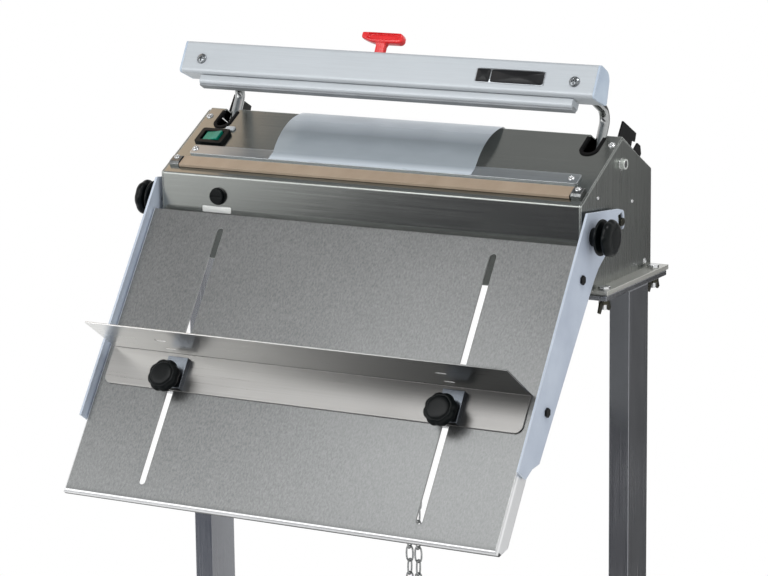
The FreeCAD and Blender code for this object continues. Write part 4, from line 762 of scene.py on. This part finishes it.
def studio_floor():
    """Pale paper disc under the machine, which fades into the white surround."""
    radius, angle = np.linspace(0, FLOOR_RADIUS, 24)[:, None], turns(64)[None]
    disc = np.stack([radius * np.cos(angle), radius * np.sin(angle), 0 * radius * angle - FLOOR_DROP], -1)
    paint = Paint("floor_paper")
    grain = paint.noise((900, 900, 900), 2)
    spread = paint.node("VectorMath", {"operation": "LENGTH"}, {0: paint.place((1, 1, 0))}, output="Value")
    colour = paint.mix(grain, tint((246, 246, 246)), tint((252, 252, 252)))
    paper = paint.node("BsdfDiffuse", {}, {"Color": colour})
    fade = paint.step(spread, 300, 1440, window=2000)
    sheet = paint.node("MixShader", {}, {0: fade, 1: paper, 2: paint.node("BsdfTransparent")})
    stage_mesh("studio_floor", disc, paint.end(sheet), around=True)


def card(name, middle, right, up, colour):
    """Studio card that only reflections see: a slanted plane grid about its middle, whose edges fade
    with the distance along its own two sides."""
    middle, sides = np.array(middle), np.array([right, up], float)
    across = np.linspace(-1, 1, 12)
    grid = middle + across[:, None, None] * sides[0] + across[None, :, None] * sides[1]
    paint = Paint(name)
    shares = [paint.ramp(abs(paint.dot(paint.place(), tuple(way)) - float(way @ middle)), (0.8, 1), (1.0, 0))
              for way in np.linalg.pinv(sides).T]
    cover = paint.node("Emission", {}, {"Color": (*colour, 1)})
    sheet = paint.node("MixShader", {}, {
        0: shares[0] * shares[1], 1: paint.node("BsdfTransparent"), 2: cover})
    made = stage_mesh(name, grid, paint.end(sheet), around=False)
    made.visible_camera = made.visible_diffuse = made.visible_shadow = made.visible_transmission = False


def lamp(name, place, target, size, power):
    """Soft rectangular lamp that looks from a place at a target."""
    data = bpy.data.lights.new(name, "AREA")
    data.shape, data.size, data.size_y, data.energy = "RECTANGLE", *size, power
    made = bpy.data.objects.new(name, data)
    bpy.context.collection.objects.link(made)
    made.rotation_mode = "QUATERNION"
    made.rotation_quaternion = (Vector(target) - Vector(place)).to_track_quat("-Z", "Y")
    made.location = place


def camera():
    """Camera at the photograph's place: turned, tipped down and rolled as fitted to it."""
    yaw, pitch, roll = radians(VIEW_YAW), radians(VIEW_PITCH), radians(VIEW_ROLL)
    ahead = np.array([-sin(yaw) * cos(pitch), cos(yaw) * cos(pitch), -sin(pitch)])
    level = np.array([cos(yaw), sin(yaw), 0])
    upward = np.cross(level, ahead)
    right = cos(roll) * level + sin(roll) * upward
    up = -sin(roll) * level + cos(roll) * upward
    data = bpy.data.cameras.new("view")
    data.sensor_width, data.lens = SENSOR_WIDTH, FOCAL_PIXELS * SENSOR_WIDTH / PICTURE_PIXELS
    data.clip_start, data.clip_end = 0.05, 60
    made = bpy.data.objects.new("view", data)
    bpy.context.collection.objects.link(made)
    place = np.eye(4)
    place[:3] = np.stack([right, up, -ahead, VIEW_PLACE], 1)
    made.matrix_world = Matrix(place.tolist())
    bpy.context.scene.camera = made


surround()
studio_floor()
for row in CARDS:
    card(*row)
for row in LAMPS:
    lamp(*row)
camera()
bpy.context.scene.view_settings.view_transform = "Standard"
